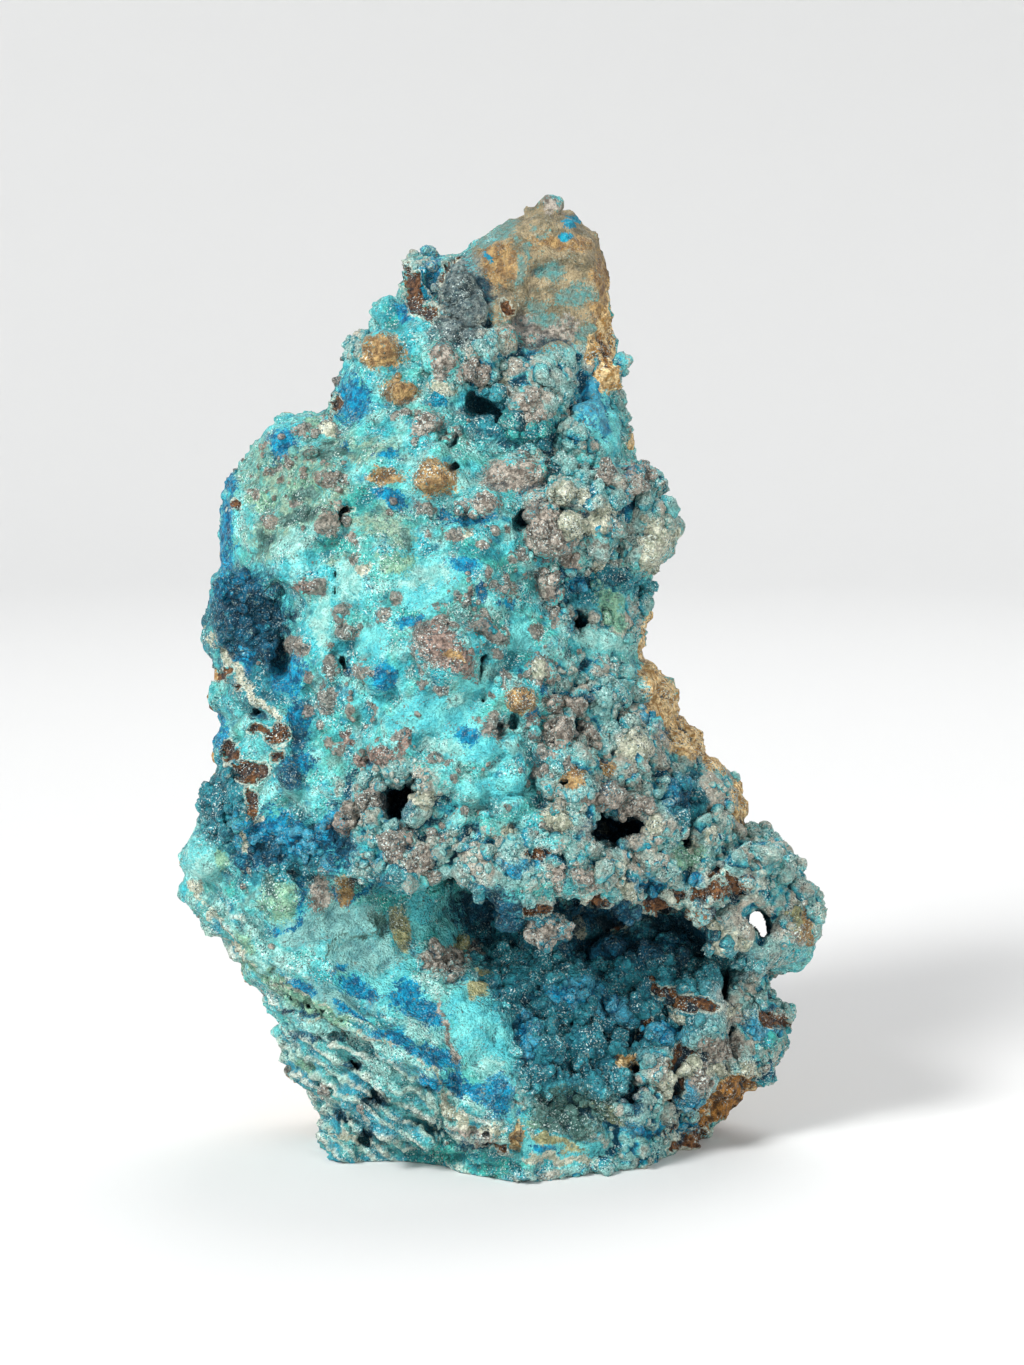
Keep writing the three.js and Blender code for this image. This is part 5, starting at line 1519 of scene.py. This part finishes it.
STONES = [
    ("slab", "#ab9a78", "#7a7259", 2.2, 0.14, 0.7),
    ("rose", "#bcb2a4", "#6c645a", 0.9, 0.22, 1.3),
    # Mauve: a darker copy of the rose for the frontally lit dome: painted light.
    ("mauve", "#a48d80", "#5f5048", 0.9, 0.22, 1.3),
    ("cream", "#d9dac4", "#9da38c", 1.0, 0.18, 0.9),
    ("tan", "#bb9a66", "#836643", 1.2, 0.18, 1.0),
    ("straw", "#bdb98a", "#8b8c62", 1.0, 0.2, 0.8),
    ("olive", "#5a837b", "#2f5750", 1.2, 0.25, 1.1),
    ("slate", "#808e8b", "#475a5e", 0.8, 0.28, 1.4),
    ("mottle", "#5c9894", "#72867a", 0.8, 0.3, 1.4),
    # Ochre: lightened to stand in for light on faces turned from the key: partly painted light.
    ("ochre", "#f6d9a2", "#ae8449", 0.9, 0.08, 0.5),
    ("bark", "#b47e3c", "#553a1e", 0.9, 0.15, 0.8),
    ("rust", "#865c38", "#402716", 0.7, 0.08, 0.5),
    ("dots", "#1aa0bc", "#0b7d9b", 0.7, 0.1, 0.6),
]

# Drifts of colour: size in mm, detail, seed, noise at the edge and inside, share and tint
GREEN_DRIFTS = [(5.0, 4.0, 2, 0.46, 0.62, 0.7, "#5cc0b0"), (3.0, 5.0, 3, 0.5, 0.68, 0.5, "#8b9686")]
BLUE_DRIFTS = [(2.4, 5.0, 4, 0.46, 0.3, 0.8, "#1f8aa4")]
PALE_GRAINS = [(0.5, 2.0, 63, 0.56, 0.66, 0.7, "#efd8a8")]


def lay(nodes, colour, patches, wander, first_seed):
    """Lays the listed patches with speckled edges over a colour."""
    for seed, (mark, light, dark, size, soft, spread) in enumerate(patches, first_seed):
        held = nodes.math("ADD", nodes.mark(mark), nodes.math("MULTIPLY", wander, spread))
        share = nodes.ramp(held, 0.5 - soft, 0.5 + soft)
        colour = nodes.mix(share, colour, nodes.mottle(size, 5.0, seed, dark, light))
    return colour


def smooth_colour(nodes, middle):
    """The velvety crust: bright turquoise with green, grey and pale drifts and a few blue ones."""
    colour = nodes.mottle(8.0, 3.0, 1, "#3fb8c2", "#66cfce")
    colour = nodes.drifts(colour, GREEN_DRIFTS)
    colour = nodes.mix(nodes.ramp(middle, 0.46, 0.66, 0.0, 0.85), colour, "#a2e6de")
    return nodes.drifts(colour, BLUE_DRIFTS)


def druse_colour(nodes, middle, crest):
    """The sparkling druse: deep blue in its clefts, teal on its flanks and grey to beige on its tops, which
    are darker with painted shade in the dim ground.
    """
    colour = nodes.mix(nodes.ramp(middle, 0.4, 0.6), "#2f98a6", "#68c4c2")
    low = nodes.mottle(3.5, 3.0, 5, "#06506a", "#0486ac", 0.08)
    colour = nodes.mix(nodes.ramp(crest, 0.5, 0.28), colour, low)
    tone = nodes.math("ADD", nodes.mark("tone"), nodes.centred(nodes.noise(1.0, 4.0, 6), 1.0))
    tops = nodes.mix(nodes.ramp(tone, 0.15, 0.85), "#8fbfb8", "#b9ac9a")
    # Painted shade: in the dim ground the druse's tops are darker and fewer.
    tops = nodes.mix(nodes.ramp(nodes.mark("dim"), 0.2, 0.6), tops, "#549fab")
    dim = nodes.ramp(nodes.mark("dim"), 0.2, 0.7, 0.9, 0.4)
    return nodes.mix(nodes.math("MULTIPLY", nodes.ramp(crest, 0.46, 0.74), dim), colour, tops)


def leaves_colour(nodes, colour, wander):
    """The leaves of the lower left rim: grey-cream and mint edges with teal gaps."""
    leaf = nodes.math("ADD", nodes.mark("leaf"), nodes.centred(nodes.noise(0.7, 3.0, 8), 1.0))
    edges = nodes.mottle(4.0, 4.0, 9, "#b4d2c2", "#e4e8d8", 0.08)
    gaps = nodes.mottle(5.0, 3.0, 10, "#2a93ac", "#56b0ae", 0.08)
    leaves = nodes.mix(nodes.ramp(leaf, 0.15, 0.7), gaps, edges)
    share = nodes.ramp(nodes.math("ADD", nodes.mark("strata"), wander), 0.35, 0.65, 0.0, 0.85)
    return nodes.mix(share, colour, leaves)


def crust_colour(nodes):
    """The colour of the crust, from its grounds up to its painted shade in the clefts, its dark pores and
    white specks, which are partly painted glints.
    """
    middle, fine, grit = nodes.noise(2.2, 4.0, 11), nodes.noise(0.75, 3.0, 12), nodes.noise(0.3, 1.0, 13)
    wander = nodes.math("ADD", nodes.centred(middle, 0.9), nodes.centred(fine, 0.9))
    wander = nodes.math("ADD", wander, nodes.centred(grit, 1.0))
    crest = nodes.math("ADD", nodes.mark("crest"), nodes.centred(fine, 0.5))
    druse = nodes.ramp(nodes.math("ADD", nodes.mark("druse"), wander), 0.3, 0.62)
    colour = nodes.mix(druse, smooth_colour(nodes, middle), druse_colour(nodes, middle, crest))
    colour = leaves_colour(nodes, colour, wander)
    colour = lay(nodes, colour, GROUNDS, wander, 20)
    frosted = nodes.math("MULTIPLY", nodes.ramp(crest, 0.55, 0.8, 0.0, 0.35), druse)
    frosted = nodes.math("MULTIPLY", frosted, nodes.ramp(nodes.mark("azure"), 0.3, 0.6))
    frosted = nodes.math("MULTIPLY", frosted, nodes.ramp(nodes.mark("deep"), 0.2, 0.5, 1.0, 0.0))
    colour = nodes.mix(frosted, colour, "#6fbcc6")
    bud = nodes.ramp(nodes.math("ADD", nodes.mark("bud"), wander), 0.38, 0.62, 0.0, 0.9)
    colour = nodes.mix(bud, colour, nodes.mix(nodes.ramp(fine, 0.38, 0.62), "#655950", "#a39487"))
    colour = lay(nodes, colour, STONES, wander, 40)
    rust = nodes.math("ADD", nodes.mark("rust"), nodes.centred(fine, 0.5))
    rim = nodes.math("MULTIPLY", nodes.ramp(rust, 0.22, 0.36), nodes.ramp(rust, 0.5, 0.4, 0.0, 0.8))
    colour = nodes.mix(rim, colour, "#cfd8c6")
    # Painted shade: the druse's clefts darkened towards near-black teal.
    cleft_shade = nodes.math("MULTIPLY", nodes.ramp(crest, 0.36, 0.14, 0.0, 0.85),
                       nodes.ramp(druse, 0.0, 1.0, 0.45, 1.0))
    colour = nodes.mix(cleft_shade, colour, "#06394a")
    return speckled_colour(nodes, colour, grit)


def speckled_colour(nodes, colour, grit):
    """Dark pores, white specks that are partly painted glints, and uneven depth of colour, fewer on the plain
    and the blue grounds.
    """
    plain = nodes.math("MAXIMUM", nodes.mark("slab"), nodes.mark("aqua"))
    plain = nodes.math("MAXIMUM", plain, nodes.mark("powder"))
    blue = nodes.math("MAXIMUM", nodes.mark("deep"), nodes.mark("azure"))
    speckled = nodes.math("MULTIPLY", nodes.ramp(nodes.noise(3.2, 3.0, 14), 0.4, 0.6),
                          nodes.ramp(plain, 0.4, 0.6, 1.0, 0.2))
    pores = nodes.math("MULTIPLY", nodes.ramp(grit, 0.42, 0.34, 0.0, 0.85),
                       nodes.ramp(speckled, 0.0, 1.0, 0.25, 1.0))
    colour = nodes.mix(pores, colour, "#0a3f4f")
    # White specks, partly painted glints of the druse.
    grains_and_glints = nodes.math("MULTIPLY", nodes.ramp(nodes.noise(0.3, 1.0, 15), 0.58, 0.66, 0.0, 0.8), speckled)
    grains_and_glints = nodes.math("MULTIPLY", grains_and_glints, nodes.ramp(blue, 0.2, 0.5, 1.0, 0.35))
    colour = nodes.mix(grains_and_glints, colour, "#e0f2ec")
    depth = nodes.math("MULTIPLY", nodes.ramp(nodes.noise(0.45, 4.0, 16), 0.3, 0.7, 0.72, 1.22),
                       nodes.ramp(nodes.noise(1.6, 4.0, 17), 0.3, 0.7, 0.8, 1.16))
    return nodes.mix(nodes.ramp(plain, 0.4, 0.6, 1.0, 0.5), colour, depth, "MULTIPLY")


def back_colour(nodes):
    """The broken rock behind: ochre and brown with a few stains of blue-green."""
    broad, middle, fine = nodes.noise(11.0, 4.0, 60), nodes.noise(3.0, 5.0, 61), nodes.noise(0.8, 4.0, 62)
    colour = nodes.mix(nodes.ramp(broad, 0.4, 0.6), "#bd9259", "#d9bd8c")
    colour = nodes.mix(nodes.ramp(middle, 0.54, 0.64), colour, "#80562f")
    colour = nodes.mix(nodes.ramp(fine, 0.4, 0.32), colour, "#4a3220")
    colour = nodes.drifts(colour, PALE_GRAINS)
    stain = nodes.math("ADD", nodes.noise(9.0, 5.0, 64, 1.0), nodes.centred(fine, 0.4))
    stained = nodes.mix(nodes.ramp(middle, 0.4, 0.6), "#2f8fa3", "#7cc4c2")
    return nodes.mix(nodes.ramp(stain, 0.54, 0.62), colour, stained)


def rock_colour(nodes):
    """Crust in front and broken rock behind."""
    behind = nodes.math("ADD", nodes.mark("behind"), nodes.centred(nodes.noise(5.0, 4.0, 65), 1.6))
    behind = nodes.ramp(behind, 0.42, 0.58)
    return nodes.mix(behind, crust_colour(nodes), back_colour(nodes))


def painted_hollow_shade(nodes, colour):
    """Painted shade: the colour darkened the deeper it lies in a hollow, towards dark teal in front and dark
    brown behind.
    """
    dark = nodes.mix(nodes.mark("behind"), "#06404f", "#2a1a0c")
    return nodes.mix(nodes.ramp(nodes.mark("shelter"), 0.45, 1.0, 0.0, 0.75), colour, dark)


def crust_material():
    """The finish of the crust, for the rock and its nodules."""
    nodes = Nodes("crust")
    # The crust's colour carries painted shade in its hollows.
    nodes.feed(nodes.shader.inputs["Base Color"], painted_hollow_shade(nodes, rock_colour(nodes)))
    nodes.feed(nodes.shader.inputs["Roughness"], nodes.ramp(nodes.noise(0.5, 3.0, 70), 0.35, 0.65, 0.4, 0.8))
    nodes.shader.inputs["Specular IOR Level"].default_value = 0.3
    grit = nodes.math("MULTIPLY", nodes.noise(0.3, 1.0, 13), 0.6)
    height = nodes.math("ADD", nodes.noise(0.7, 5.0, 71), grit)
    nodes.feed(nodes.shader.inputs["Normal"], nodes.bump(height, 0.9))
    return nodes.material


# Brightness of single crystals, the dark one a random tone and the pale and white ones painted glints: their
# number where it starts and where it is full, its share and its colour
SPARKS = [(0.35, 0.0, 0.5, "#0f5a6c"), (0.6, 0.95, 0.35, "#cfe2dc"), (0.93, 0.96, 0.6, "#eefaf8")]


def crystal_material():
    """Small glassy points, some of them bright with painted glints and some dark."""
    nodes = Nodes("druse")
    colour = rock_colour(nodes)
    spark = nodes.mark("spark")
    # Pale and white crystals are painted glints.
    for edge, inside, share, tint in SPARKS:
        colour = nodes.mix(nodes.ramp(spark, edge, inside, 0.0, share), colour, tint)
    # The crystals' colour carries painted shade in the hollows.
    nodes.feed(nodes.shader.inputs["Base Color"], painted_hollow_shade(nodes, colour))
    nodes.shader.inputs["Roughness"].default_value = 0.45
    nodes.shader.inputs["Specular IOR Level"].default_value = 0.2
    return nodes.material


def make_camera():
    """The reference view: level with the specimen's middle, looking down a little from the front."""
    data = bpy.data.cameras.new("camera")
    camera = add_object("camera", data)
    data.sensor_width = SENSOR_WIDTH
    data.lens = SENSOR_WIDTH * VIEW_DISTANCE / (PICTURE_SIZE[1] * PIXEL)
    data.clip_start = CAMERA_CLEAR
    target = Vector((CENTRE_SHIFT[0], CENTRE_SHIFT[1], LIFT)) * MM
    back = Vector((0, -math.cos(VIEW_TILT), math.sin(VIEW_TILT)))
    camera.location = target + back * VIEW_DISTANCE * MM
    camera.rotation_euler = (math.pi / 2 - VIEW_TILT, 0, 0)
    bpy.context.scene.camera = camera


def make_light(name, place, size, power):
    """A soft square light that faces the specimen."""
    data = bpy.data.lights.new(name, "AREA")
    data.energy = power
    data.size = size
    light = add_object(name, data)
    light.location = place
    light.rotation_euler = (LIGHT_TARGET - Vector(place)).to_track_quat("-Z", "Y").to_euler()


def make_floor():
    """A pale floor that sweeps up all round into a low wall."""
    profile = [(0.0, 0.0), (FLOOR_RADIUS, 0.0)]
    for n in range(1, SWEEP_STEPS + 1):
        angle = math.radians(90 * n / SWEEP_STEPS)
        profile.append((FLOOR_RADIUS + FLOOR_SWEEP * math.sin(angle), FLOOR_SWEEP * (1 - math.cos(angle))))
    profile.append((FLOOR_RADIUS + FLOOR_SWEEP, FLOOR_WALL))
    shape = bmesh.new()
    line = [shape.verts.new((r, 0, z)) for r, z in profile]
    edges = [shape.edges.new(pair) for pair in zip(line, line[1:])]
    bmesh.ops.spin(shape, geom=line + edges, cent=(0, 0, 0), axis=(0, 0, 1), angle=2 * math.pi,
                   steps=FLOOR_SIDES, use_merge=True)
    bmesh.ops.remove_doubles(shape, verts=shape.verts[:], dist=1e-5)
    bmesh.ops.recalc_face_normals(shape, faces=shape.faces[:])
    mesh = bpy.data.meshes.new("floor")
    shape.to_mesh(mesh)
    shape.free()
    mesh.polygons.foreach_set("use_smooth", np.ones(len(mesh.polygons), bool))
    floor = add_object("floor", mesh)
    material = bpy.data.materials.new("floor")
    material.use_nodes = True
    shader = material.node_tree.nodes["Principled BSDF"]
    shader.inputs["Base Color"].default_value = FLOOR_COLOUR
    shader.inputs["Roughness"].default_value = FLOOR_ROUGHNESS
    mesh.materials.append(material)


def make_stage():
    """A plain pale floor and soft studio light."""
    make_floor()
    world = bpy.data.worlds.new("world")
    world.use_nodes = True
    air = world.node_tree.nodes["Background"]
    air.inputs["Color"].default_value = AIR_COLOUR
    air.inputs["Strength"].default_value = AIR_STRENGTH
    bpy.context.scene.world = world
    for light in LIGHTS:
        make_light(*light)
    bpy.context.scene.view_settings.view_transform = "Standard"


def finish_piece(piece, material):
    """Gives a piece its finish and its place in the frame."""
    piece.data.materials.append(material)
    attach(piece, "root")


make_camera()
make_stage()
table = make_table()
skin, rock_ground = make_rock(table)
nodules, nodule_ground = make_nodules(rock_ground)
crust = crust_material()
druse = crystal_material()
for piece in skin:
    finish_piece(piece, crust)
    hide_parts("serpierite_rock")
for piece in nodules:
    finish_piece(piece, crust)
for name, ground, seed in (("druse_on_nodules", nodule_ground, 200), ("druse_on_rock", rock_ground, 201)):
    finish_piece(make_crystals(name, ground, CRYSTAL_COUNT, seed), druse)
